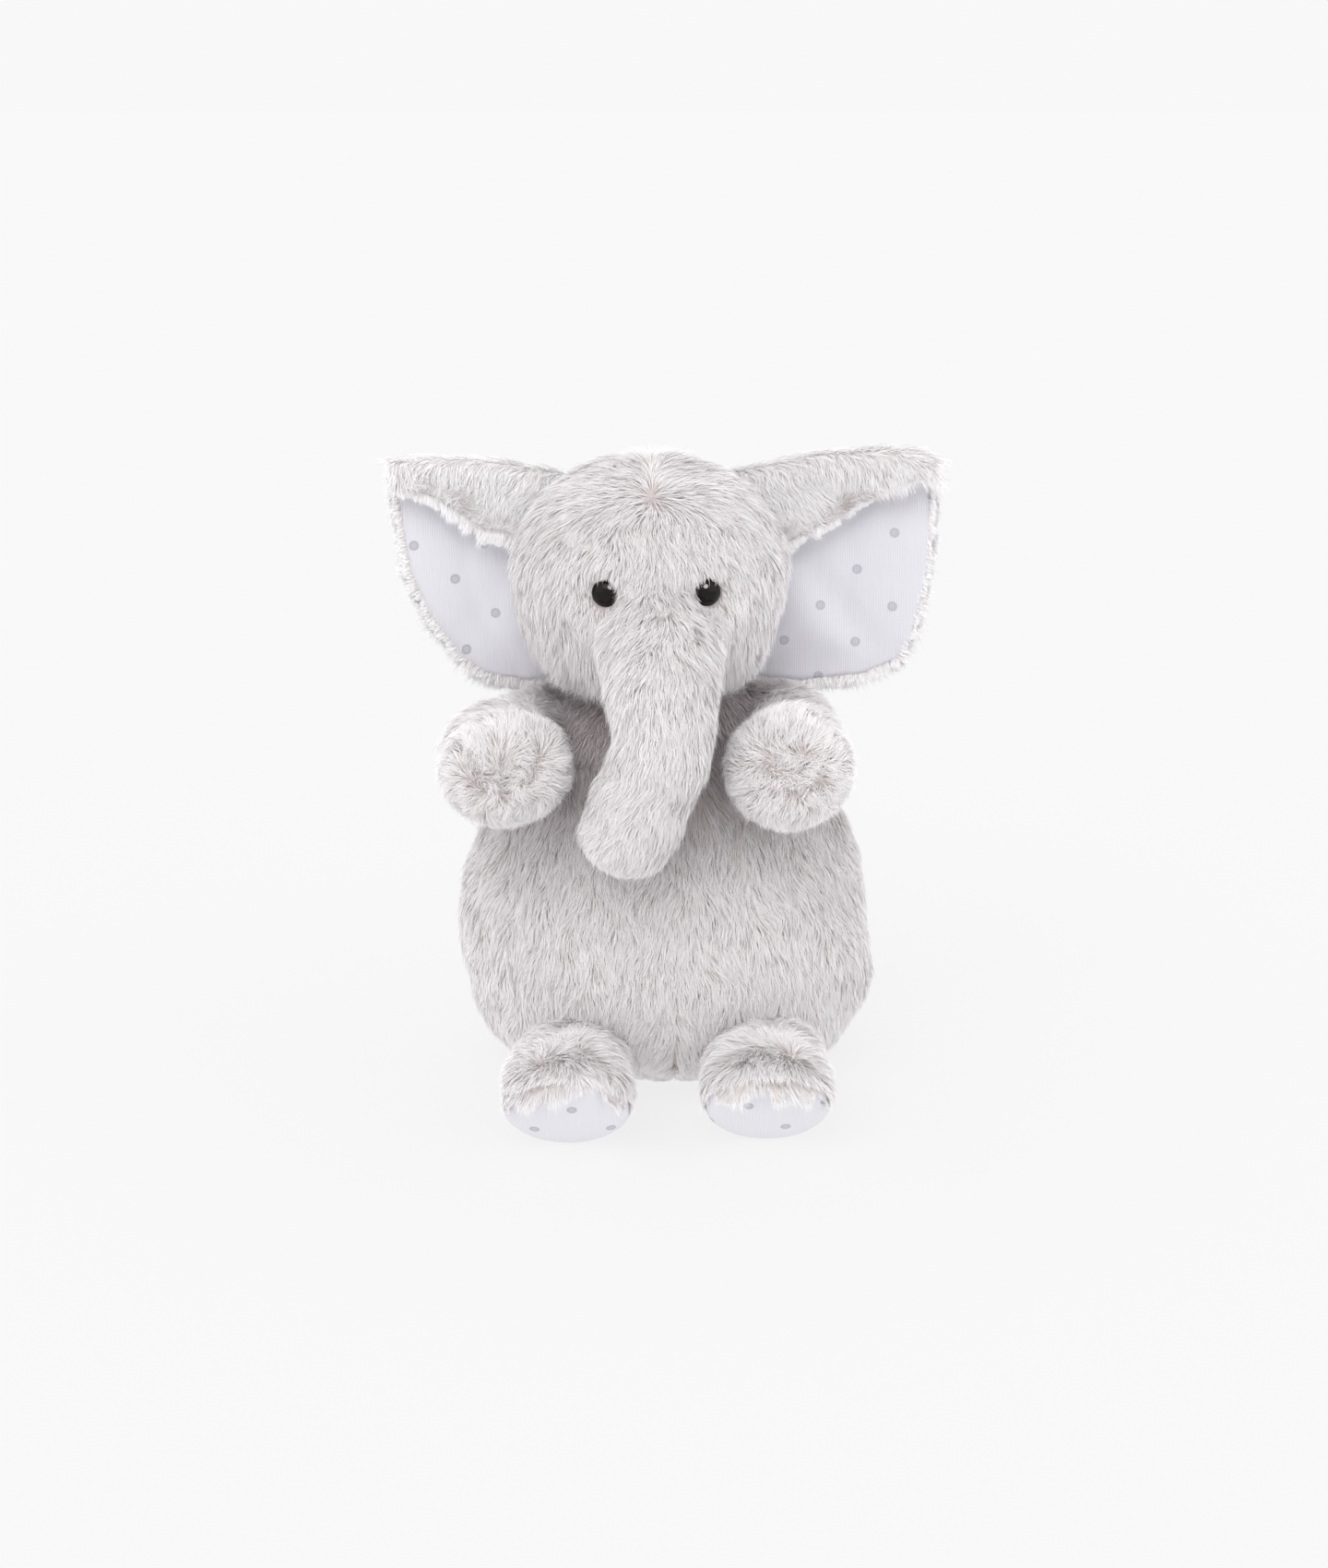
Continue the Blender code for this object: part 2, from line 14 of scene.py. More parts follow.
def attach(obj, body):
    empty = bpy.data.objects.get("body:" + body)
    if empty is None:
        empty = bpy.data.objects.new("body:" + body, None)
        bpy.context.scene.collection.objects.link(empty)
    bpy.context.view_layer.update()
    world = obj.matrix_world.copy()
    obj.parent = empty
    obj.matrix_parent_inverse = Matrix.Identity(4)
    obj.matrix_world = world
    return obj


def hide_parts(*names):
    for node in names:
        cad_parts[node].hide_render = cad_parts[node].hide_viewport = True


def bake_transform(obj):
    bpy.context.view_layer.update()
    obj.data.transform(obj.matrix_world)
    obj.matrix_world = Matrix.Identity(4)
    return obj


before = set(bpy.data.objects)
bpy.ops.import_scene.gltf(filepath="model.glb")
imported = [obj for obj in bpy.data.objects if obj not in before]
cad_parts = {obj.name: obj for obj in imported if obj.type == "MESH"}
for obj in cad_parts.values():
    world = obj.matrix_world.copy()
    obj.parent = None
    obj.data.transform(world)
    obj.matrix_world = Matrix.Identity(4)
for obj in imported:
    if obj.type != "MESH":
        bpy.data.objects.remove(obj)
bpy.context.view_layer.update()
rng = np.random.default_rng(515)
SPARSE = 1.0

# ---------------------------------------------------------------- the toy's own sizes
INSET = 0.0009  # the backing cloth lies this far under the middle of the pile
PILE = 0.0074  # length of the fur
SLEEVE_PILE = 0.0078
EAR_PILE = 0.0068
DENSITY = {"torso": 3.9, "head": 4.7, "trunk": 5.0, "arm": 4.8, "foot": 6.2, "ear": 4.2}  # strands per mm2
BURIED = -0.002  # fur is left out where its root lies this deep in a neighbouring shape
JUST_BURIED = -0.0015  # the same, where the neighbour is a thinner limb
TRUNK_BURIED = -0.0012  # the same, for the trunk's fur in the head
FLOOR_GAP = 0.0004  # fur stops this far above the ground
# height, half width and half depth of the torso
TORSO_OUTLINE = np.array(
    (
        (0.0012, 0.0470, 0.0220),
        (0.0060, 0.0575, 0.0330),
        (0.0160, 0.0665, 0.0460),
        (0.0280, 0.0720, 0.0535),
        (0.0450, 0.0745, 0.0560),
        (0.0600, 0.0740, 0.0550),
        (0.0750, 0.0710, 0.0520),
        (0.0900, 0.0660, 0.0480),
        (0.1050, 0.0590, 0.0430),
        (0.1180, 0.0520, 0.0390),
        (0.1290, 0.0440, 0.0340),
        (0.1380, 0.0350, 0.0290),
        (0.1450, 0.0260, 0.0230),
    )
)
HEAD_CENTRE = np.array((-0.005, -0.008, 0.187))
HEAD_HALF = np.array((0.048, 0.045, 0.041))
CROWN = np.array((-0.0045, -0.016, 0.240))  # the head's fur is combed away from here
FOREHEAD_TUFT = np.array((-0.001, -0.012, 0.227))
FACE_SEAM_X = -0.0045
BELLY_SEAM_X = 0.004
EYES = {"left": (-0.0204, 0.1875), "right": (0.0154, 0.1875)}
EYE_RADIUS = 0.0051
EYE_HEIGHT = 0.0039
EYE_BARE = {"head": 0.0050, "trunk": 0.0048}  # no fur is rooted nearer to an eye's axis than this
TRUNK_PATH = np.array(
    (
        (-0.002, -0.0400, 0.1710),
        (-0.001, -0.0555, 0.1665),
        (-0.0005, -0.0660, 0.156),
        (-0.0005, -0.0695, 0.142),
        (-0.0036, -0.0710, 0.130),
        (-0.0084, -0.0710, 0.119),
        (-0.0118, -0.0705, 0.110),
    )
)
TRUNK_RADII = np.array((0.0170, 0.0185, 0.0180, 0.0163, 0.0157, 0.0155, 0.0150))
ARM_PATHS = {
    "left": np.array(
        (
            (-0.0300, 0.0060, 0.1290),
            (-0.0412, 0.0008, 0.1291),
            (-0.0508, -0.0102, 0.1267),
            (-0.0572, -0.0320, 0.1272),
            (-0.0542, -0.0580, 0.1283),
        )
    ),
    "right": np.array(
        (
            (0.0280, 0.0060, 0.1290),
            (0.0395, 0.0005, 0.1300),
            (0.0450, -0.0095, 0.1280),
            (0.0442, -0.0330, 0.1255),
            (0.0425, -0.0580, 0.1290),
        )
    ),
}
ARM_RADII = np.array((0.0130, 0.0150, 0.0165, 0.0184, 0.0200))
FEET = {"left": (-0.033, -0.0915), "right": (0.0355, -0.0880)}
FOOT_HALF = (0.0215, 0.0190)
SOLE_TILT = math.radians(35)
SOLE_AHEAD = np.array((0, -math.cos(SOLE_TILT), -math.sin(SOLE_TILT)))
SOLE_UP = np.array((0, -math.sin(SOLE_TILT), math.cos(SOLE_TILT)))
EAR_FOLD = 0.006
EAR_REACH = {"left": 0.0915, "right": 0.1005}
# share of the reach at a share of the ear's height; the other ear tables run from the head outwards
EAR_OUTER = {
    "left": ((0.0, 0.740), (0.2, 0.862), (0.45, 0.948), (0.75, 0.982), (1.0, 1.000)),
    "right": ((0.0, 0.895), (0.2, 0.950), (0.45, 0.985), (0.75, 1.000), (1.0, 1.000)),
}
EAR_BOTTOM = ((0.0, 0.1470), (0.45, 0.1440), (0.8, 0.1474), (1.0, 0.1536))
EAR_TOP = {
    "left": ((0.0, 0.2205), (0.4, 0.2258), (0.8, 0.2276), (1.0, 0.2268)),
    "right": ((0.0, 0.2210), (0.4, 0.2282), (0.75, 0.2308), (0.92, 0.2300), (1.0, 0.2272)),
}
EAR_FLAP = {
    "left": ((0.0, 0.0160), (0.2, 0.0160), (0.36, 0.0172), (0.5, 0.0130), (0.74, 0.0074), (1.0, 0.0024)),
    "right": ((0.0, 0.0195), (0.4, 0.0162), (0.7, 0.0088), (1.0, 0.0010)),
}
EAR_BACK_Y = ((0.0, 0.0080), (0.5, 0.0070), (1.0, 0.0010))
EAR_BACK_ROWS = 25  # rows of the ear's grid up the back, round the fold and down the flap
EAR_FOLD_ROWS = 19
EAR_FLAP_ROWS = 8
AWAY = {"left": -1.0, "right": 1.0}
DOWN = np.array((0, 0, -1.0))
FORWARD = np.array((0, -1.0, 0))
BACKWARD = np.array((0, 1.0, 0))
X_AXIS = np.array((1.0, 0, 0))
Y_AXIS = np.array((0, 1.0, 0))
PAW_SHAPE = {"left": (1.06, 0.91), "right": (1.0, 0.98)}  # how much wider and lower than round


# ---------------------------------------------------------------- small mathematics
def unit(a):
    """Vectors of length 1."""
    return a / np.maximum(np.linalg.norm(a, axis=-1, keepdims=True), 1e-12)


def dot(a, b):
    return (a * b).sum(-1, keepdims=True)


def hump(x, middle, width):
    """Smooth hump, 1 at the middle and fading to nothing within about two widths."""
    return np.exp(-(((x - middle) / width) ** 2))


def table(pairs, t):
    """Value at t on the polyline through the pairs."""
    xs, ys = zip(*pairs)
    return np.interp(t, xs, ys)


def spline(points, t):
    """Catmull-Rom curve through the rows of points, at each t from 0 to 1."""
    points = np.asarray(points, float)
    padded = np.vstack((2 * points[0] - points[1], points, 2 * points[-1] - points[-2]))
    spans = len(points) - 1
    at = np.clip(np.asarray(t) * spans, 0, spans)
    i = np.minimum(at.astype(int), spans - 1)
    f = (at - i)[:, None]
    p0, p1, p2, p3 = (padded[i + k] for k in range(4))
    return 0.5 * (
        2 * p1
        + (p2 - p0) * f
        + (2 * p0 - 5 * p1 + 4 * p2 - p3) * f**2
        + (3 * p1 - p0 - 3 * p2 + p3) * f**3
    )


def waves(points, wavelength, seed, count=9):
    """Smooth random field, about -1 to 1, with lumps of that wavelength."""
    own = np.random.default_rng(seed)
    ways = unit(own.normal(size=(count, 3)))
    ways *= (2 * math.pi / wavelength * own.uniform(0.7, 1.4, count))[:, None]
    return np.sin(points @ ways.T + own.uniform(0, 6.28, count)).sum(-1) / math.sqrt(count)


def wave_vectors(points, wavelength, seed):
    return np.stack([waves(points, wavelength, seed + 31 * k) for k in range(3)], -1)


# ---------------------------------------------------------------- distances to the stuffed shapes
def head_distance(p):
    off = p - HEAD_CENTRE
    half = HEAD_HALF - INSET
    k0 = np.linalg.norm(off / half, axis=-1)
    k1 = np.linalg.norm(off / half**2, axis=-1)
    return k0 * (k0 - 1) / np.maximum(k1, 1e-9)


def torso_distance(p):
    half_x = np.interp(p[..., 2], TORSO_OUTLINE[:, 0], TORSO_OUTLINE[:, 1]) - INSET
    half_y = np.interp(p[..., 2], TORSO_OUTLINE[:, 0], TORSO_OUTLINE[:, 2]) - INSET
    k0 = np.hypot(p[..., 0] / half_x, p[..., 1] / half_y)
    k1 = np.hypot(p[..., 0] / half_x**2, p[..., 1] / half_y**2)
    side = k0 * (k0 - 1) / np.maximum(k1, 1e-9)
    above = p[..., 2] - TORSO_OUTLINE[-1, 0]
    return np.where(above > 0, np.hypot(above, np.maximum(side, 0)), side)


def tube_distance(p, path, radii):
    t = np.linspace(0, 1, 15)
    nodes, widths = spline(path, t), spline(radii[:, None], t)[:, 0] - INSET
    best = np.full(p.shape[:-1], 1.0)
    for a, b, ra, rb in zip(nodes, nodes[1:], widths, widths[1:]):
        along = np.clip(((p - a) @ (b - a)) / ((b - a) @ (b - a)), 0, 1)
        near = a + along[..., None] * (b - a)
        gap = np.linalg.norm(p - near, axis=-1) - (ra + (rb - ra) * along)
        best = np.minimum(best, gap)
    return best


def foot_distance(p, side):
    x, y = FEET[side]
    path = np.array(((x * 0.95, y + 0.052, 0.020), (x, y + 0.034, 0.020), (x, y + 0.012, 0.020)))
    return tube_distance(p, path, np.array((0.0145, 0.0155, 0.0185)))


def trunk_distance(p):
    return tube_distance(p, TRUNK_PATH, TRUNK_RADII)


def arm_distance(side):
    return lambda p: tube_distance(p, ARM_PATHS[side], ARM_RADII)


# ---------------------------------------------------------------- surfaces
class Surface:
    """A grid of points; rows run along the piece, columns go round it, or across it if it is open."""

    def __init__(self, grid, outward, closed=True):
        self.grid = np.asarray(grid, float)
        self.closed = closed
        self.outward = outward
        self.renew()

    def renew(self):
        g = self.grid
        self.along = np.gradient(g, axis=0)
        if self.closed:
            across = np.roll(g, -1, 1) - np.roll(g, 1, 1)
        else:
            across = np.gradient(g, axis=1)
        n = unit(np.cross(self.along, across))
        sign = np.sign((n * self.outward).sum())
        self.normal = n * sign
        self.along = unit(self.along)

    def push(self, amount):
        self.grid = self.grid + self.normal * amount[..., None]
        self.renew()

    def fillet(self, distance, size):
        """Swell towards a neighbouring shape, so that the two run into each other softly."""
        d = np.abs(distance(self.grid))
        self.push(np.maximum(size - d, 0) ** 2 / (4 * size))

    def scatter(self, per_mm2):
        """Even random roots: place, normal, direction along, and share of the rows and columns."""
        g, n, a = self.grid, self.normal, self.along
        if self.closed:
            g, n, a = (np.concatenate((x, x[:, :1]), 1) for x in (g, n, a))
        area = 0.5 * np.linalg.norm(np.cross(g[1:, 1:] - g[:-1, :-1], g[1:, :-1] - g[:-1, 1:]), axis=-1)
        count = int(area.sum() * 1e6 * per_mm2 * SPARSE)
        cell = rng.choice(area.size, count, p=(area / area.sum()).ravel())
        i, j = np.divmod(cell, area.shape[1])
        u, v = rng.random((2, count, 1))

        def mix(x):
            return (
                x[i, j] * (1 - u) * (1 - v)
                + x[i + 1, j] * u * (1 - v)
                + x[i, j + 1] * (1 - u) * v
                + x[i + 1, j + 1] * u * v
            )

        rows = (i + u[:, 0]) / area.shape[0]
        cols = (j + v[:, 0]) / area.shape[1]
        return {"p": mix(g), "n": unit(mix(n)), "a": unit(mix(a)), "row": rows, "col": cols}


def keep(hairs, mask):
    return {k: v[mask] for k, v in hairs.items()}


def ring_grid(centres, half_u, half_v, u_axis, v_axis, count=72):
    turn = np.linspace(0, 2 * math.pi, count, endpoint=False)
    c, s = np.cos(turn)[None, :, None], np.sin(turn)[None, :, None]
    return (
        centres[:, None]
        + c * (half_u[:, None] * u_axis)[:, None]
        + s * (half_v[:, None] * v_axis)[:, None]
    )


def torso_surface():
    rows = spline(TORSO_OUTLINE, np.linspace(0, 1, 56))
    z, hx, hy = rows.T
    hx, hy = hx - INSET, hy - INSET
    turn = np.radians((20, 40, 60, 76, 87))
    z = np.concatenate((z, z[-1] + 0.012 * np.sin(turn)))
    hx = np.concatenate((hx, hx[-1] * np.cos(turn)))
    hy = np.concatenate((hy, hy[-1] * np.cos(turn)))
    z = np.concatenate(((z[0],), z))
    hx = np.concatenate(((0.02,), hx))
    hy = np.concatenate(((0.012,), hy))
    sag = 0.0022 * np.clip((0.075 - z) / 0.04, 0, 1)
    centres = np.stack((sag, 0 * z, z), -1)
    grid = ring_grid(centres, hx, hy, X_AXIS, Y_AXIS, 96)
    return Surface(grid, grid - np.array((0, 0, 0.06)))


def head_surface():
    lat = np.radians(np.linspace(-88, 88, 60))
    half = HEAD_HALF - INSET
    centres = HEAD_CENTRE + np.stack((0 * lat, 0 * lat, half[2] * np.sin(lat)), -1)
    girth = np.cos(lat) ** np.where(lat < 0, 0.76, 1.0)
    grid = ring_grid(centres, half[0] * girth, half[1] * np.cos(lat), X_AXIS, Y_AXIS, 96)
    return Surface(grid, grid - HEAD_CENTRE)


def tube_surface(path, radii, wide=1.0, high=1.0):
    """Limb along a path, with a round far end."""
    t = np.linspace(0, 1, 40)
    centres, widths = spline(path, t), spline(radii[:, None], t)[:, 0] - INSET
    tangents = unit(np.gradient(centres, axis=0))
    turn = np.radians(np.linspace(8, 88, 12))
    centres = np.vstack((centres, centres[-1] + tangents[-1] * widths[-1] * np.sin(turn)[:, None]))
    widths = np.concatenate((widths, widths[-1] * np.cos(turn)))
    tangents = np.vstack((tangents, np.repeat(tangents[-1:], len(turn), 0)))
    side = X_AXIS
    u_axis, v_axis = [], []
    for tangent in tangents:
        side = side - tangent * (side @ tangent)
        side = side / np.linalg.norm(side)
        u_axis.append(side)
        v_axis.append(np.cross(tangent, side))
    grid = ring_grid(centres, wide * widths, high * widths, np.array(u_axis), np.array(v_axis), 56)
    return Surface(grid, grid - centres[:, None] + 0.3 * tangents[:, None] * widths[:, None, None])


def sole_centre(side):
    x, y = FEET[side]
    return np.array((x, y, FOOT_HALF[1] * math.cos(SOLE_TILT) + 0.0003))


def foot_surface(side):
    x, y = FEET[side]
    sole = sole_centre(side)
    stations = np.array(
        (
            (x * 0.95, y + 0.052, 0.0200, 0.0, 0.84, 0.66),
            (x, y + 0.034, 0.0200, 0.15, 0.92, 0.72),
            (x, y + 0.020, 0.0200, 0.5, 1.0, 0.90),
            (*(sole - SOLE_AHEAD * 0.008), 0.9, 1.02, 0.98),
            (*(sole - SOLE_AHEAD * 0.0015), 1.0, 1.0, 1.0),
        )
    )
    rows = spline(stations, np.linspace(0, 1, 36))
    tilt = rows[:, 3] * SOLE_TILT
    up = np.stack((0 * tilt, -np.sin(tilt), np.cos(tilt)), -1)
    across = np.broadcast_to(X_AXIS, up.shape)
    half_x = rows[:, 4] * FOOT_HALF[0] - INSET
    half_up = rows[:, 5] * FOOT_HALF[1] - INSET
    grid = ring_grid(rows[:, :3], half_x, half_up, across, up, 64)
    return Surface(grid, grid - rows[:, None, :3])


def ear_inner(z):
    """How far from the head's middle the ear is rooted at a height, a little inside the head."""
    off = np.clip(np.abs(z - HEAD_CENTRE[2]) / HEAD_HALF[2], 0, 1)
    return np.maximum(0.026, HEAD_HALF[0] * np.sqrt(1 - off * off) - 0.003)


def ear_grid(side, depth, trim=0.0, columns=40):
    """Ear sheet at a depth below the plush side; rows go up the back, over the fold and down the flap."""
    s = np.linspace(0, 1, columns)[None, :]
    bottom = table(EAR_BOTTOM, s) + trim
    top = table(EAR_TOP[side], s)
    back = table(EAR_BACK_Y, s)
    hang = table(EAR_FLAP[side], s) - trim
    axis_y = back - EAR_FOLD
    axis_z = top - EAR_FOLD
    radius = EAR_FOLD - depth
    ys, zs, levels = [], [], []
    for share in np.linspace(0, 1, EAR_BACK_ROWS + 1)[:-1]:
        z = bottom + (axis_z - bottom) * share
        ys.append(back - depth + 0 * s)
        zs.append(z)
        levels.append(z)
    for turn in np.radians(np.linspace(0, 180, EAR_FOLD_ROWS)):
        ys.append(axis_y + radius * math.cos(turn))
        zs.append(axis_z + radius * math.sin(turn))
        levels.append(axis_z + EAR_FOLD * math.sin(turn))
    for share in np.linspace(0, 1, EAR_FLAP_ROWS + 1)[1:]:
        z = axis_z - hang * share
        ys.append(axis_y - radius + 0 * s)
        zs.append(z)
        levels.append(z)
    y, z, level = (np.concatenate(x, 0) for x in (ys, zs, levels))
    h = np.clip((level - bottom) / (top - bottom), 0, 1)
    inner = ear_inner(level)
    outer = table(EAR_OUTER[side], h) * EAR_REACH[side] - trim
    x = HEAD_CENTRE[0] + AWAY[side] * (inner + (outer - inner) * s)
    return np.stack((x, y, z), -1)


# ---------------------------------------------------------------- materials
def principled(name):
    made = bpy.data.materials.new(name)
    made.use_nodes = True
    nodes = made.node_tree.nodes
    return made, nodes, made.node_tree.links, nodes["Principled BSDF"]


def settings(node, **values):
    """Set the node's sockets; an underscore stands for the space in a socket's name."""
    for socket, value in values.items():
        node.inputs[socket.replace("_", " ")].default_value = value


def srgb(r, g, b):
    """Colour in 0 to 255 as the renderer's linear values."""
    shares = (c / 255 for c in (r, g, b))
    return tuple(c / 12.92 if c < 0.04 else ((c + 0.055) / 1.055) ** 2.4 for c in shares) + (1,)


def colour_ramp(nodes, *stops):
    """Colour ramp through pairs of position and colour."""
    node = nodes.new("ShaderNodeValToRGB")
    elements = node.color_ramp.elements
    elements[0].position, elements[0].color = stops[0]
    elements[1].position, elements[1].color = stops[-1]
    for position, colour in stops[1:-1]:
        elements.new(position).color = colour
    return node


def fur_material(name, root, middle, tip):
    """Colour runs from root to tip, and a little from strand to strand, by the strands' UV map."""
    made, nodes, links, shader = principled(name)
    uv = nodes.new("ShaderNodeUVMap")
    uv.uv_map = "OFBake"
    split = nodes.new("ShaderNodeSeparateXYZ")
    links.new(uv.outputs[0], split.inputs[0])
    ramp = colour_ramp(nodes, (0.0, root), (0.38, middle), (0.75, tip))
    links.new(split.outputs[1], ramp.inputs[0])
    tone = nodes.new("ShaderNodeMapRange")
    settings(tone, To_Min=0.45, To_Max=1.10)
    links.new(split.outputs[0], tone.inputs["Value"])
    scaled = nodes.new("ShaderNodeVectorMath")
    scaled.operation = "SCALE"
    links.new(ramp.outputs[0], scaled.inputs[0])
    links.new(tone.outputs[0], scaled.inputs["Scale"])
    # strands of low tone are tinted warmer: painted warm shade, which also warms the brown roots where the
    # pile opens
    shade_and_root_warmth = colour_ramp(nodes, (0.30, (1.0, 0.87, 0.885, 1)), (0.84, (1, 1, 1, 1)))
    links.new(split.outputs[0], shade_and_root_warmth.inputs[0])
    tinted = nodes.new("ShaderNodeVectorMath")
    tinted.operation = "MULTIPLY"
    links.new(scaled.outputs[0], tinted.inputs[0])
    links.new(shade_and_root_warmth.outputs[0], tinted.inputs[1])
    links.new(tinted.outputs[0], shader.inputs["Base Color"])
    settings(shader, Roughness=0.62, Specular_IOR_Level=0.12, Sheen_Weight=0.15, Sheen_Roughness=0.5)
    return made


def skin_material(name, dark, light):
    """Knitted backing cloth, seen only between the locks; its darker taupe is partly painted shade there."""
    made, nodes, links, shader = principled(name)
    noise = nodes.new("ShaderNodeTexNoise")
    settings(noise, Scale=420)
    coords = nodes.new("ShaderNodeTexCoord")
    links.new(coords.outputs["Object"], noise.inputs["Vector"])
    ramp = colour_ramp(nodes, (0.0, dark), (1.0, light))
    links.new(noise.outputs[0], ramp.inputs[0])
    links.new(ramp.outputs[0], shader.inputs["Base Color"])
    settings(shader, Roughness=0.95, Specular_IOR_Level=0.1)
    return made


RIB = 0.0008  # distance between the jersey's ribs
STITCH = 0.0011
DOT_RADIUS = 0.0020
DOT_GREY = srgb(187, 187, 197)


def jersey_material(name, shear, pitch_x, pitch_y, dark, light):
    """White rib jersey printed with staggered soft grey dots; lengths on the weave UV map are in metres."""
    made, nodes, links, shader = principled(name)

    def maths(operation, a, b=None, c=None):
        node = nodes.new("ShaderNodeMath")
        node.operation = operation
        for socket, value in zip(node.inputs, (a, b, c)):
            if value is None:
                continue
            if isinstance(value, (int, float)):
                socket.default_value = value
            else:
                links.new(value, socket)
        return node.outputs[0]

    uv = nodes.new("ShaderNodeUVMap")
    uv.uv_map = "weave"
    split = nodes.new("ShaderNodeSeparateXYZ")
    links.new(uv.outputs[0], split.inputs[0])
    across, upward = split.outputs[0], split.outputs[1]
    slanted = maths("ADD", across, maths("MULTIPLY", upward, shear))
    reach = None
    for shift in (0.0, 0.5):
        dx = maths("WRAP", maths("ADD", slanted, shift * pitch_x), pitch_x / 2, -pitch_x / 2)
        dy = maths("WRAP", maths("ADD", upward, shift * pitch_y), pitch_y / 2, -pitch_y / 2)
        dx = maths("SUBTRACT", dx, maths("MULTIPLY", dy, shear))
        far = maths("SQRT", maths("ADD", maths("MULTIPLY", dx, dx), maths("MULTIPLY", dy, dy)))
        reach = far if reach is None else maths("MINIMUM", reach, far)
    grain = nodes.new("ShaderNodeTexNoise")
    settings(grain, Scale=2600)
    links.new(uv.outputs[0], grain.inputs["Vector"])
    edge = maths("ADD", reach, maths("MULTIPLY", maths("SUBTRACT", grain.outputs[0], 0.5), 0.0008))
    ink = ((0.0, 0.70), (0.40, 0.72), (0.66, 1.0), (0.80, 0.9), (0.96, 0.0), (1.0, 0.0))
    ramp = colour_ramp(nodes, *((position, (value, value, value, 1)) for position, value in ink))
    links.new(maths("DIVIDE", edge, DOT_RADIUS), ramp.inputs[0])
    rib = maths("SINE", maths("MULTIPLY", across, 2 * math.pi / RIB))
    stitch = maths("SINE", maths("MULTIPLY", upward, 2 * math.pi / STITCH))
    height = maths("ADD", rib, maths("MULTIPLY", stitch, 0.12))
    cloth = nodes.new("ShaderNodeMix")
    cloth.data_type = "RGBA"
    settings(cloth, A=dark, B=light)
    links.new(maths("ADD", maths("MULTIPLY", height, 0.35), 0.5), cloth.inputs["Factor"])
    printed = nodes.new("ShaderNodeMix")
    printed.data_type = "RGBA"
    settings(printed, B=DOT_GREY)
    links.new(ramp.outputs[0], printed.inputs["Factor"])
    links.new(cloth.outputs["Result"], printed.inputs["A"])
    links.new(printed.outputs["Result"], shader.inputs["Base Color"])
    bump = nodes.new("ShaderNodeBump")
    settings(bump, Strength=0.20, Distance=0.0002)
    links.new(height, bump.inputs["Height"])
    links.new(bump.outputs[0], shader.inputs["Normal"])
    settings(shader, Roughness=0.85, Sheen_Weight=0.1, Specular_IOR_Level=0.2)
    return made


def eye_material():
    made, _, _, shader = principled("eye_gloss")
    settings(shader, Base_Color=(0.007, 0.004, 0.004, 1), Roughness=0.06, Specular_IOR_Level=0.20)
    return made


FUR = fur_material("plush_pile", srgb(206, 196, 194), srgb(232, 228, 228), srgb(247, 245, 246))
# painted light: the ears' pile and backing are lighter copies of the plush's, so that less shade shows at
# their roots and edges
EAR_FUR = fur_material("ear_pile", srgb(236, 232, 232), srgb(246, 244, 244), srgb(252, 251, 252))
# the plush backing's darker taupe is partly painted shade between the locks
SKIN = skin_material("plush_backing", srgb(194, 184, 182), srgb(208, 200, 199))
EAR_SKIN = skin_material("ear_backing", srgb(234, 231, 231), srgb(242, 240, 240))
JERSEY = {
    name: jersey_material("jersey_" + name, shear, pitch_x, pitch_y, srgb(*dark), srgb(*light))
    for name, shear, pitch_x, pitch_y, dark, light in (
        ("left", 0.148, 0.0245, 0.0253, (227, 226, 233), (236, 235, 241)),
        # painted shade: the right lining's cloth is a little darker than the left one's and the soles'
        ("right", -0.010, 0.0255, 0.0265, (219, 218, 225), (230, 229, 235)),
        ("sole", 0.0, 0.0262, 0.0256, (228, 227, 233), (235, 234, 240)),
    )
}
EYE = eye_material()


# ---------------------------------------------------------------- meshes
def link(name, mesh, material):
    mesh.materials.append(material)
    ob = bpy.data.objects.new(name, mesh)
    bpy.context.scene.collection.objects.link(ob)
    return ob


def lay_weave(mesh, flat):
    """Weave UV map in metres, from a pair of lengths for each vertex."""
    index = np.zeros(len(mesh.loops), np.int32)
    mesh.loops.foreach_get("vertex_index", index)
    layer = mesh.uv_layers.new(name="weave")
    layer.data.foreach_set("uv", flat[index].astype(np.float32).ravel())


def solid(name, surface, material):
    """Closed mesh over a round surface, with a fan over each end."""
    rows, cols = surface.grid.shape[:2]
    verts = surface.grid.reshape(-1, 3)
    ends = np.array((surface.grid[0].mean(0), surface.grid[-1].mean(0)))
    verts = np.vstack((verts, ends))
    faces = []
    for i in range(rows - 1):
        for j in range(cols):
            k = (j + 1) % cols
            faces.append((i * cols + j, i * cols + k, (i + 1) * cols + k, (i + 1) * cols + j))
    low, high = rows * cols, rows * cols + 1
    last = (rows - 1) * cols
    for j in range(cols):
        k = (j + 1) % cols
        faces.append((low, k, j))
        faces.append((high, last + j, last + k))
    # faces turn outwards whichever way the rings were wound
    middle = rows // 2
    ring, after = surface.grid[middle], surface.grid[middle + 1]
    turned = np.cross(ring[1] - ring[0], after[0] - ring[0]) @ surface.normal[middle, 0]
    if turned < 0:
        faces = [f[::-1] for f in faces]
    mesh = bpy.data.meshes.new(name)
    mesh.from_pydata(verts.tolist(), [], faces)
    mesh.shade_smooth()
    return link(name, mesh, material)


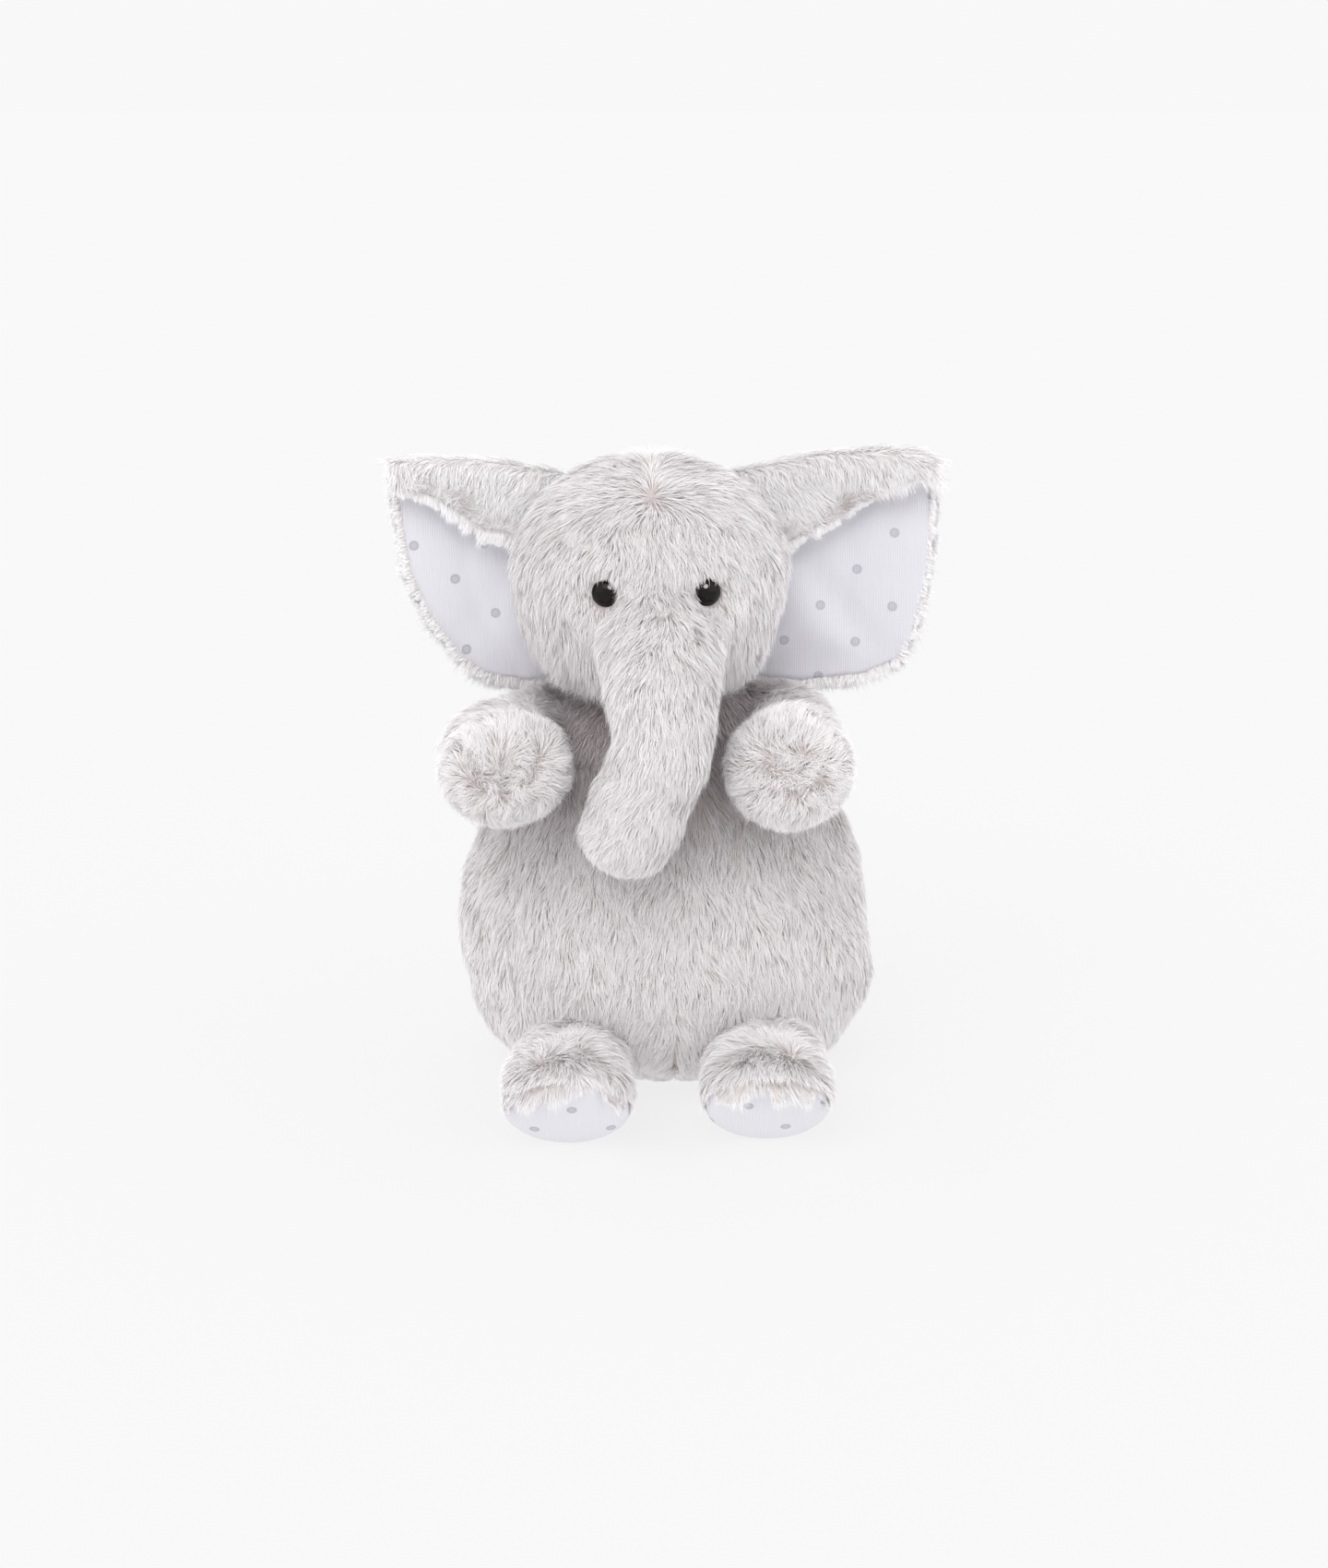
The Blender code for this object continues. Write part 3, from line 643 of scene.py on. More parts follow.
def sheet_solid(name, front, back, material):
    """Thin closed cloth between two grids of points."""
    rows, cols = front.shape[:2]
    verts = np.vstack((front.reshape(-1, 3), back.reshape(-1, 3)))
    half = rows * cols
    faces = []
    for i in range(rows - 1):
        for j in range(cols - 1):
            a, b, c, d = i * cols + j, i * cols + j + 1, (i + 1) * cols + j + 1, (i + 1) * cols + j
            faces.append((a, b, c, d))
            faces.append((half + d, half + c, half + b, half + a))
    rim = [i * cols for i in range(rows)]
    rim += [(rows - 1) * cols + j for j in range(1, cols)]
    rim += [i * cols + cols - 1 for i in range(rows - 2, -1, -1)]
    rim += [j for j in range(cols - 2, 0, -1)]
    for a, b in zip(rim, rim[1:] + rim[:1]):
        faces.append((a, b, half + b, half + a))
    mesh = bpy.data.meshes.new(name)
    mesh.from_pydata(verts.tolist(), [], faces)
    g = front
    normal = np.cross(g[1, 1] - g[0, 0], g[1, 0] - g[0, 1])
    if (front[0, 0] - back[0, 0]) @ normal > 0:
        mesh.flip_normals()
    mesh.shade_smooth()
    return link(name, mesh, material)


# ---------------------------------------------------------------- fur
STRAND_WIDTH = 0.00021


def comb_strands(
    hairs, flow, length, lean=(58, 82), messy=0.25, pull=0.09, lock=5, shade=0.0, wild=0.17, seed=1
):
    """Bend each strand from its root along the flow, and draw neighbours together into locks.

    lean is the angle from upright, in degrees, of a strand's lower and upper half. lock is how many
    strands share a lock, and pull how far they are drawn to its leader. messy turns whole areas aside,
    wild turns single strands, and shade darkens them: it carries painted shade and the brown roots where
    the pile opens, and below 0 it paints strands lighter as painted light.
    """
    p, n = hairs["p"], hairs["n"]
    count = len(p)
    t = unit(flow)
    t = t + messy * wave_vectors(p, 0.016, seed) + 0.6 * messy * wave_vectors(p, 0.006, seed + 7)
    t = unit(t - n * dot(t, n))
    leaders = rng.permutation(count)[: max(count // lock, 1)]
    tree = KDTree(len(leaders))
    for k, leader in enumerate(leaders):
        tree.insert(p[leader], k)
    tree.balance()
    own = np.array([tree.find(q)[1] for q in p])
    chief = leaders[own]
    sway = rng.normal(0, 0.10, (len(leaders), 3))[own] + wild * rng.normal(0, 1, (count, 3))
    t = unit(t + sway - n * dot(sway, n))
    lift = rng.normal(0, 3, len(leaders))[own] + rng.normal(0, 4, count)
    first, last = np.radians(lean[0] + lift)[:, None], np.radians(lean[1] + 0.6 * lift)[:, None]
    size = length * (1 + 0.10 * waves(p, 0.012, seed + 3)) * rng.uniform(0.78, 1.1, count)
    size = (size * (1 + rng.normal(0, 0.08, len(leaders))[own]))[:, None]
    middle = p + (n * np.cos(first) + t * np.sin(first)) * size * 0.45
    tip = middle + (n * np.cos(last) + t * np.sin(last)) * size * 0.55
    draw = (pull * rng.uniform(0.4, 1.25, count))[:, None]
    tip = tip + draw * (tip[chief] - tip)
    middle = middle + 0.35 * draw * (middle[chief] - middle)
    aside = unit(np.cross(tip - p, n))
    roll = rng.uniform(-0.7, 0.7, (count, 1))
    aside = aside * np.cos(roll) + n * np.sin(roll)
    wide = (STRAND_WIDTH * rng.uniform(0.75, 1.3, count))[:, None]
    tone = 0.87 + 0.03 * rng.normal(0, 1, len(leaders))[own]
    # the tone carries the painted shade and light, and the brown roots, as well as random variation
    tone = tone + (0.05 + 0.25 * np.maximum(shade, 0)) * rng.normal(0, 1, count) - shade
    return {
        "root_a": p - aside * wide / 2,
        "root_b": p + aside * wide / 2,
        "middle_a": middle - aside * wide * 0.45,
        "middle_b": middle + aside * wide * 0.45,
        "tip": tip,
        "tone": tone,
    }


def patches(points, wavelength, seed):
    """Irregular spots where the pile opens, 0 to 1."""
    return np.clip(1.2 * waves(points, wavelength, seed) + 0.3, 0, 1)


def fur_mesh(name, strands, material=FUR):
    """One mesh of all the strands, each a quad and a triangle; the UVs are tone and share of the length."""
    count = len(strands["tip"])
    keys = ("root_a", "root_b", "middle_a", "middle_b", "tip")
    verts = np.stack([strands[k] for k in keys], 1)
    verts[..., 2] = np.maximum(verts[..., 2], FLOOR_GAP)
    mesh = bpy.data.meshes.new(name)
    mesh.vertices.add(5 * count)
    mesh.vertices.foreach_set("co", verts.astype(np.float32).ravel())
    mesh.loops.add(7 * count)
    base = 5 * np.arange(count)[:, None]
    mesh.loops.foreach_set("vertex_index", (base + np.array((0, 1, 3, 2, 2, 3, 4))).astype(np.int32).ravel())
    mesh.polygons.add(2 * count)
    starts = 7 * np.arange(count)[:, None] + np.array((0, 4))
    mesh.polygons.foreach_set("loop_start", starts.astype(np.int32).ravel())
    mesh.polygons.foreach_set("use_smooth", np.ones(2 * count, bool))
    mesh.update(calc_edges=True)
    layer = mesh.uv_layers.new(name="OFBake")
    along = np.array((0.03, 0.03, 0.5, 0.5, 0.5, 0.5, 0.97))
    uv = np.empty((count, 7, 2), np.float32)
    uv[..., 0] = np.clip(strands["tone"], 0.02, 0.98)[:, None]
    uv[..., 1] = along
    layer.data.foreach_set("uv", uv.ravel())
    mesh.validate()
    return link(name, mesh, material)


# ---------------------------------------------------------------- torso
torso = torso_surface()
torso.push(0.0011 * waves(torso.grid, 0.045, 11) * np.clip(torso.grid[..., 2] / 0.02, 0, 1))
for limb in (arm_distance("left"), arm_distance("right")):
    torso.fillet(limb, 0.008)
torso_skin = solid("torso_skin", torso, SKIN)
hairs = torso.scatter(DENSITY["torso"])
p = hairs["p"]
hidden = head_distance(p) < BURIED
for side in ("left", "right"):
    hidden |= (arm_distance(side)(p) < JUST_BURIED) | (foot_distance(p, side) < JUST_BURIED)
hidden |= (hairs["n"][:, 2] < -0.75) & (p[:, 2] < 0.004)
hairs = keep(hairs, ~hidden)
p = hairs["p"]
flow = DOWN + np.stack((3.5 * p[:, 0], 3.5 * p[:, 1], 0 * p[:, 2]), -1)
seam = hump(p[:, 0], BELLY_SEAM_X, 0.007) * np.clip((0.05 - p[:, 2]) / 0.03, 0, 1) * (p[:, 1] < 0)
flow[:, 0] += np.sign(p[:, 0] - BELLY_SEAM_X) * seam * 0.4
length = PILE * np.clip(0.45 + p[:, 2] / 0.04, 0.45, 1)
# painted shade: under the chin and behind the trunk the fur is painted darker and warmer
chest = hump(p[:, 2], 0.132, 0.030) * (p[:, 1] < 0.01)
chest = chest * (0.55 + 0.45 * hump(p[:, 0], 0, 0.034))
strands = comb_strands(hairs, flow, length, shade=0.40 * chest, seed=100)
parts = {
    "torso_front_left": (p[:, 1] < 0) & (p[:, 0] < 0),
    "torso_front_right": (p[:, 1] < 0) & (p[:, 0] >= 0),
    "torso_back_left": (p[:, 1] >= 0) & (p[:, 0] < 0),
    "torso_back_right": (p[:, 1] >= 0) & (p[:, 0] >= 0),
}
for name, mask in parts.items():
    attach(fur_mesh(name + "_fur", keep(strands, mask)), "torso")
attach(torso_skin, "torso")
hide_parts("torso_front_left", "torso_front_right", "torso_back", "torso_base")
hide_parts("torso_filling", "pellet_pouch")

# ---------------------------------------------------------------- head
eye_seats = {}
for side, (x, z) in EYES.items():
    across, upward = (x - HEAD_CENTRE[0]) / HEAD_HALF[0], (z - HEAD_CENTRE[2]) / HEAD_HALF[2]
    depth = math.sqrt(1 - across**2 - upward**2)
    on = np.array((x, HEAD_CENTRE[1] - HEAD_HALF[1] * depth, z))
    out = unit((on - HEAD_CENTRE) / HEAD_HALF**2)
    eye_seats[side] = (on - out * 0.0024, out)


def from_axis(points, seat, out):
    """Height of each point along an eye's axis, and its distance from the axis."""
    off = points - seat
    height = off @ out
    return height, np.linalg.norm(off - height[..., None] * out, axis=-1)


def dimple(surface):
    """The eyes' shanks draw the cloth in round them."""
    for seat, out in eye_seats.values():
        height, near = from_axis(surface.grid, seat, out)
        pulled = hump(near, 0, 0.0085) * np.clip(height + 0.0002, 0, 0.008) * (height > -0.01)
        surface.grid = surface.grid - pulled[..., None] * out
    surface.renew()


def eye_gap(points):
    """Distance to the axis of the nearer eye."""
    gap = np.full(len(points), 1.0)
    for seat, out in eye_seats.values():
        height, near = from_axis(points, seat, out)
        gap = np.minimum(gap, np.where(np.abs(height) < 0.01, near, 1.0))
    return gap


head = head_surface()
head.push(0.0008 * waves(head.grid, 0.040, 21))
head.fillet(trunk_distance, 0.022)
dimple(head)
head_skin = solid("head_skin", head, SKIN)
hairs = head.scatter(DENSITY["head"])
p = hairs["p"]
hidden = (torso_distance(p) < BURIED) | (trunk_distance(p) < JUST_BURIED)
nearest_eye = eye_gap(p)
hidden |= nearest_eye < EYE_BARE["head"]
hairs = keep(hairs, ~hidden)
nearest_eye = nearest_eye[~hidden]
p = hairs["p"]
flow = unit(p - CROWN) + 0.5 * DOWN
from_seam = p[:, 0] - FACE_SEAM_X
# on top the fur is combed sideways from the seam, because fur that points at the viewer looks dark
on_top = np.clip((hairs["n"][:, 2] - 0.55) / 0.30, 0, 1)[:, None]
sideways = np.tanh(from_seam / 0.007)
combed = np.stack((1.2 * sideways, 0.3 + 0 * sideways, 0 * sideways), -1)
flow = flow * (1 - 0.9 * on_top) + on_top * combed
# painted light: fur on the head's right side, which the lamps leave in shade, is painted lighter
shaded_side = np.clip((p[:, 0] - 0.006) / 0.030, 0, 1)
in_front = p[:, 1] < 0
parting = hump(from_seam, 0, 0.005) * np.clip((p[:, 2] - 0.195) / 0.02, 0, 1) * in_front
flow[:, 0] += np.tanh(from_seam / 0.002) * parting * 0.35
muzzle = hump(p[:, 0], -0.002, 0.014) * hump(p[:, 2], 0.176, 0.012) * in_front
flow[:, 0] += (p[:, 0] + 0.002) / 0.012 * muzzle * 0.8
length = PILE * np.clip((nearest_eye - 0.002) / 0.008, 0.30, 1)
tuft = hump(np.linalg.norm(p - FOREHEAD_TUFT, axis=-1), 0, 0.008)
under = np.clip((-hairs["n"][:, 2] - 0.25) / 0.4, 0, 1) * (p[:, 1] < 0.01)
strands = comb_strands(
    hairs,
    flow,
    length * (1 + 0.35 * tuft + 0.45 * under),
    lean=(58 - 12 * tuft - 22 * under, 82 - 12 * tuft - 34 * under),
    # painted light and shade: the head is painted a little darker overall, lighter round the forehead tuft
    # where the raised fur looks dark, and lighter on its shaded right side
    shade=0.02 - 0.05 * tuft - 0.11 * shaded_side,
    seed=200,
)
on_left = p[:, 0] < HEAD_CENTRE[0]
for name, mask in {"head_left": on_left, "head_right": ~on_left}.items():
    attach(fur_mesh(name + "_fur", keep(strands, mask)), "head")
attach(head_skin, "head")
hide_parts("head_left", "head_right", "head_filling")

for side, (seat, out) in eye_seats.items():
    lat = np.radians(np.concatenate(((0,), np.linspace(6, 88, 14))))
    heights = np.concatenate(((-0.0012,), EYE_HEIGHT * np.sin(lat)))
    widths = np.concatenate(((EYE_RADIUS,), EYE_RADIUS * np.cos(lat)))
    u_axis = unit(np.cross(out, (0, 0, 1.0)))
    v_axis = np.cross(out, u_axis)
    grid = ring_grid(seat + heights[:, None] * out, widths, widths, u_axis, v_axis, 48)
    ball = solid(f"eye_{side}_dome", Surface(grid, grid - (seat - out * 0.002)), EYE)
    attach(ball, "head")
    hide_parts("eye_" + side)

# ---------------------------------------------------------------- trunk
trunk = tube_surface(TRUNK_PATH, TRUNK_RADII)
trunk.push(0.0005 * waves(trunk.grid, 0.025, 31))
trunk.fillet(head_distance, 0.022)
dimple(trunk)
trunk_skin = solid("trunk_skin", trunk, SKIN)
hairs = trunk.scatter(DENSITY["trunk"])
p = hairs["p"]
hairs = keep(hairs, (head_distance(p) > TRUNK_BURIED) & (eye_gap(p) > EYE_BARE["trunk"]))
p = hairs["p"]
root_zone = np.clip((0.42 - hairs["row"]) / 0.2, 0, 1)[:, None]
fanned = 0.9 * DOWN + 14.0 * (p[:, :1] + 0.001) * X_AXIS
flow = hairs["a"] * (1 - 0.8 * root_zone) + root_zone * fanned
flow = flow - 0.10 * X_AXIS
end = np.clip((hairs["row"] - 0.80) / 0.2, 0, 1)
length = PILE * (1 - 0.30 * end) * np.clip((eye_gap(p) - 0.002) / 0.008, 0.30, 1)
strands = comb_strands(hairs, flow, length, seed=300)
trunk_fur = fur_mesh("trunk_fur", strands)
for piece in (trunk_skin, trunk_fur):
    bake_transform(piece)
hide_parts("trunk_front", "trunk_underside", "trunk_filling")

# ---------------------------------------------------------------- arms
for number, side in enumerate(("left", "right")):
    path = ARM_PATHS[side]
    arm = tube_surface(path, ARM_RADII, *PAW_SHAPE[side])
    arm.push(0.0007 * waves(arm.grid, 0.03, 41 + number))
    arm.fillet(torso_distance, 0.008)
    skin = solid(f"arm_{side}_skin", arm, SKIN)
    hairs = arm.scatter(DENSITY["arm"])
    hairs = keep(hairs, torso_distance(hairs["p"]) > BURIED)
    p = hairs["p"]
    # the paw's fur opens outwards from a short parting line across its end
    tangent = unit(path[-1] - path[-2])
    pole = path[-1] + tangent * (ARM_RADII[-1] - INSET)
    parting = np.array((0.008, 0.0, 0.0035 * (-1) ** number))
    share = np.clip((p - pole) @ parting / (parting @ parting), -1, 1)[:, None]
    off_parting = p - pole - share * parting
    blend = np.clip((np.linalg.norm(p - pole, axis=-1) - 0.018) / 0.008, 0, 1)[:, None]
    down_sleeve = 0.9 * DOWN + 0.45 * AWAY[side] * X_AXIS
    flow = unit(off_parting) * (1 - 0.9 * blend) + blend * down_sleeve
    upright = hump(np.linalg.norm(off_parting, axis=-1), 0, 0.010)
    stirred = wave_vectors(p, 0.008, 420 + number)
    flow = flow * (1 - 0.6 * upright[:, None]) + upright[:, None] * stirred
    length = SLEEVE_PILE * (1 - 0.25 * upright)
    # painted shade: the crook next to the chest is painted darker
    inner = np.clip((0.001 - AWAY[side] * (p[:, 0] - path[2][0])) / 0.012, 0, 1)
    inner = inner * np.clip((p[:, 1] + 0.045) / 0.02, 0, 1)
    bare = upright * patches(p, 0.005, 430 + number)
    strands = comb_strands(
        hairs,
        flow,
        length,
        lean=(54 - 9 * upright, 80 - 12 * upright),
        messy=0.4,
        pull=0.3,
        lock=7,
        wild=(0.17 + 0.5 * upright)[:, None],
        # painted shade in the crook and painted light on the rest of the sleeve; the whorl's patches show
        # brown roots
        shade=0.20 * bare + 0.36 * inner - 0.10,
        seed=400 + 10 * number,
    )
    fur = fur_mesh(f"arm_{side}_fur", strands)
    for piece in (skin, fur):
        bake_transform(piece)
    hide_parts(f"arm_{side}_outer", f"arm_{side}_inner", f"arm_{side}_filling")

# ---------------------------------------------------------------- feet
SOLE_DOTS = {"left": (0.0018, 0.0062), "right": (-0.0068, 0.0060)}  # where a dot sits on each sole
SOLE_DOME = 0.0035  # how far the sole bulges
SOLE_FRINGE = 3600  # strands that hang over each sole
SOLE_FRINGE_PILE = 0.0088
for number, side in enumerate(("left", "right")):
    x, y = FEET[side]
    foot = foot_surface(side)
    foot.push(0.0005 * waves(foot.grid, 0.025, 51 + number))
    # painted light: the foot's backing is the lighter ear backing, so that less shade shows beside the sole
    skin = solid(f"foot_{side}_skin", foot, EAR_SKIN)
    sole = sole_centre(side)
    hairs = foot.scatter(DENSITY["foot"])
    hairs = keep(hairs, torso_distance(hairs["p"]) > BURIED)
    p = hairs["p"]
    # two whorls lie side by side on top of the foot, behind the sole's edge
    middle = sole - SOLE_AHEAD * 0.012 + SOLE_UP * 0.017
    ridge = np.array((0.010, 0.0, 0.0015 * (-1) ** number))
    flow = 0.25 * hairs["a"] + 0.25 * DOWN
    whorls = 0
    for end in (-1, 1):
        off = p - middle - end * ridge
        far = np.linalg.norm(off, axis=-1)
        flow = flow + unit(off) * (0.0045 / (far + 0.0028))[:, None]
        whorls = whorls + hump(far, 0, 0.0055)
    bare = whorls * patches(p, 0.004, 540 + number)
    low = np.clip((sole[2] + 0.004 - p[:, 2]) / 0.004, 0, 1)
    # painted light: the foot's steep front, which gets little light, is painted lighter, and all the foot's
    # fur a little lighter too
    front = np.clip((0.45 - hairs["n"][:, 2]) / 0.4, 0, 1) * (hairs["n"][:, 1] < 0)
    length = PILE * np.clip(0.62 + 0.4 * hairs["n"][:, 2], 0.3, 1) * (1 - 0.5 * low) * (1 - 0.2 * whorls)
    strands = comb_strands(
        hairs,
        flow,
        length,
        lean=(56 - 10 * whorls, 82 - 14 * whorls),
        messy=0.3,
        pull=0.12,
        lock=5,
        wild=(0.17 + 0.30 * whorls)[:, None],
        # painted light on the front and the whole foot; the whorls' patches show brown roots
        shade=0.34 * bare - 0.07 - 0.16 * front,
        seed=500 + 10 * number,
    )

    # a fringe from the upper's edge hangs over the sole
    count = int(SOLE_FRINGE * SPARSE)
    turn = np.radians(rng.uniform(12, 168, count))
    rim = np.stack((np.cos(turn) * (FOOT_HALF[0] - 0.0008), np.sin(turn) * (FOOT_HALF[1] - 0.0006)), -1)
    root = sole + rim[:, :1] * X_AXIS + rim[:, 1:] * SOLE_UP
    set_back = rng.uniform(-0.0015, 0.005, count) + 0.002 * waves(root, 0.008, 530 + number)
    root = root - SOLE_AHEAD * set_back[:, None]
    overhang = {"p": root, "n": unit(SOLE_AHEAD + 0.5 * unit(root - sole))}
    ways = -SOLE_UP + 0.25 * np.cos(turn)[:, None] * X_AXIS
    sizes = SOLE_FRINGE_PILE * np.clip((np.sin(turn) - 0.30) / 0.55, 0.22, 1)
    sizes = sizes * (1 + 0.3 * waves(root, 0.010, 515 + number))
    more = comb_strands(
        overhang, ways, sizes, lean=(40, 86), messy=0.3, pull=0.5, lock=14, seed=520 + number
    )
    strands = {k: np.concatenate((strands[k], more[k])) for k in strands}
    fur = fur_mesh(f"foot_{side}_fur", strands)

    # the dotted sole is a shallow padded dome
    radius = np.linspace(1, 0.04, 16)
    out = SOLE_DOME * np.sqrt(np.maximum(1 - radius**2, 0)) - 0.0002
    radius = np.concatenate(((1.0,), radius))
    out = np.concatenate(((-0.0060,), out))
    centres = sole + out[:, None] * SOLE_AHEAD
    half_x, half_up = radius * (FOOT_HALF[0] - 0.0005), radius * (FOOT_HALF[1] - 0.0005)
    grid = ring_grid(centres, half_x, half_up, X_AXIS, SOLE_UP, 64)
    surface = Surface(grid, grid - (sole - SOLE_AHEAD * 0.01))
    cushion = solid(f"foot_{side}_sole_pad", surface, JERSEY["sole"])
    places = np.array([v.co for v in cushion.data.vertices]) - sole
    shift = SOLE_DOTS[side]
    lay_weave(cushion.data, np.stack((places[:, 0] - shift[0], places @ SOLE_UP - shift[1]), -1))

    for piece in (skin, fur, cushion):
        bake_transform(piece)
    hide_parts(f"foot_{side}_upper", f"foot_{side}_filling")
    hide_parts(f"foot_{side}_sole")

# ---------------------------------------------------------------- ears
# depths are measured in from the ear's outer outline
SKIN_DEPTHS = (0.0012, 0.0032)  # outer and inner face of the plush back
LINING_DEPTHS = (0.0036, 0.0046)  # back and front of the jersey
LINING_TRIM = 0.0004  # the jersey is cut this much smaller than the plush
SEAM_DEPTH = 0.0048  # fur that lies on the jersey's edge is rooted here
SEAM_TRIM = 0.0008
RIM_DEPTHS = (0.0022, 0.0034, 0.0045)  # where the fur of the ear's narrow outer side is rooted
BACK_FACING_ROWS = 20  # on these rows the plush surely looks backwards
EDGE_ROWS = EAR_BACK_ROWS + 1  # rows of the outer edge up to the fold
# how strongly the fur's brown roots show along each hem, from the head outwards
EAR_TUFTS = {
    "left": ((0.0, 0.3), (0.15, 1.0), (0.5, 1.0), (0.85, 0.9), (1.0, 0.2)),
    "right": (
        *((0.0, 1.0), (0.12, 0.9), (0.25, 0.3), (0.40, 0.8)),
        *((0.50, 1.0), (0.62, 0.6), (0.75, 0.1), (1.0, 0.0)),
    ),
}
# length of the fringe under each hem, from the head outwards
HEM_SIZES = {
    "left": ((0.0, 0.0080), (0.6, 0.0072), (1.0, 0.0050)),
    "right": ((0.0, 0.0078), (0.6, 0.0062), (1.0, 0.0026)),
}
# painted light: the left ear's fur is painted a little lighter than its material, the right ear's a little
# darker
EAR_PAINTED_LIGHT = {"left": 0.06, "right": -0.03}  # how much lighter each ear's fur is than its material
EAR_CREASE = {"left": 0.0006, "right": 0.0016}  # a soft diagonal wave in each lining
# where one of the printed dots sits on each lining
DOT_ORIGIN = {"left": (-0.0748, 0.1831), "right": (0.0691, 0.1870)}


def crease(cloth, side):
    """Soft diagonal ridge and hollow in the lining, always forward of the plush behind it."""
    x, z = cloth[..., 0] * AWAY[side], cloth[..., 2]
    slope = (x - 0.0619) * 0.77 + (z - 0.1755) * 0.64
    inside = np.clip((0.212 - z) / 0.012, 0, 1) * np.clip((z - 0.152) / 0.010, 0, 1)
    wave = 0.55 * hump(slope, 0, 0.0045) - 0.9 * hump(slope, -0.012, 0.007) - 0.6
    cloth[..., 1] += EAR_CREASE[side] * wave * inside


def fringe(points, way, facing, per_metre, length, lean, lock=14, stagger=0.0, seed=1):
    """Locks that stand out from an edge of the ear; length is a number, or one for each of the points."""
    steps = np.linalg.norm(np.diff(points, axis=0), axis=-1)
    count = int(steps.sum() * per_metre * SPARSE)
    cell = rng.choice(len(steps), count, p=steps / steps.sum())
    share = rng.random((count, 1))

    def mix(x):
        return x[cell] * (1 - share) + x[cell + 1] * share

    ways = np.broadcast_to(way, (count, 3))
    root = mix(points) + facing * rng.uniform(-0.0006, 0.0006, (count, 1))
    root = root + unit(ways) * rng.uniform(-stagger, stagger / 2, (count, 1))
    normal = np.broadcast_to(unit(facing), root.shape)
    sizes = length if np.isscalar(length) else mix(length[:, None])[:, 0]
    sizes = sizes * (0.85 + 0.25 * waves(root, 0.007, seed + 5))
    hairs = {"p": root, "n": normal}
    # painted light: the edge locks, which largely face away from the lamps, are painted a little lighter
    return comb_strands(hairs, ways, sizes, lean=lean, pull=0.45, lock=lock, shade=-0.10, seed=seed)


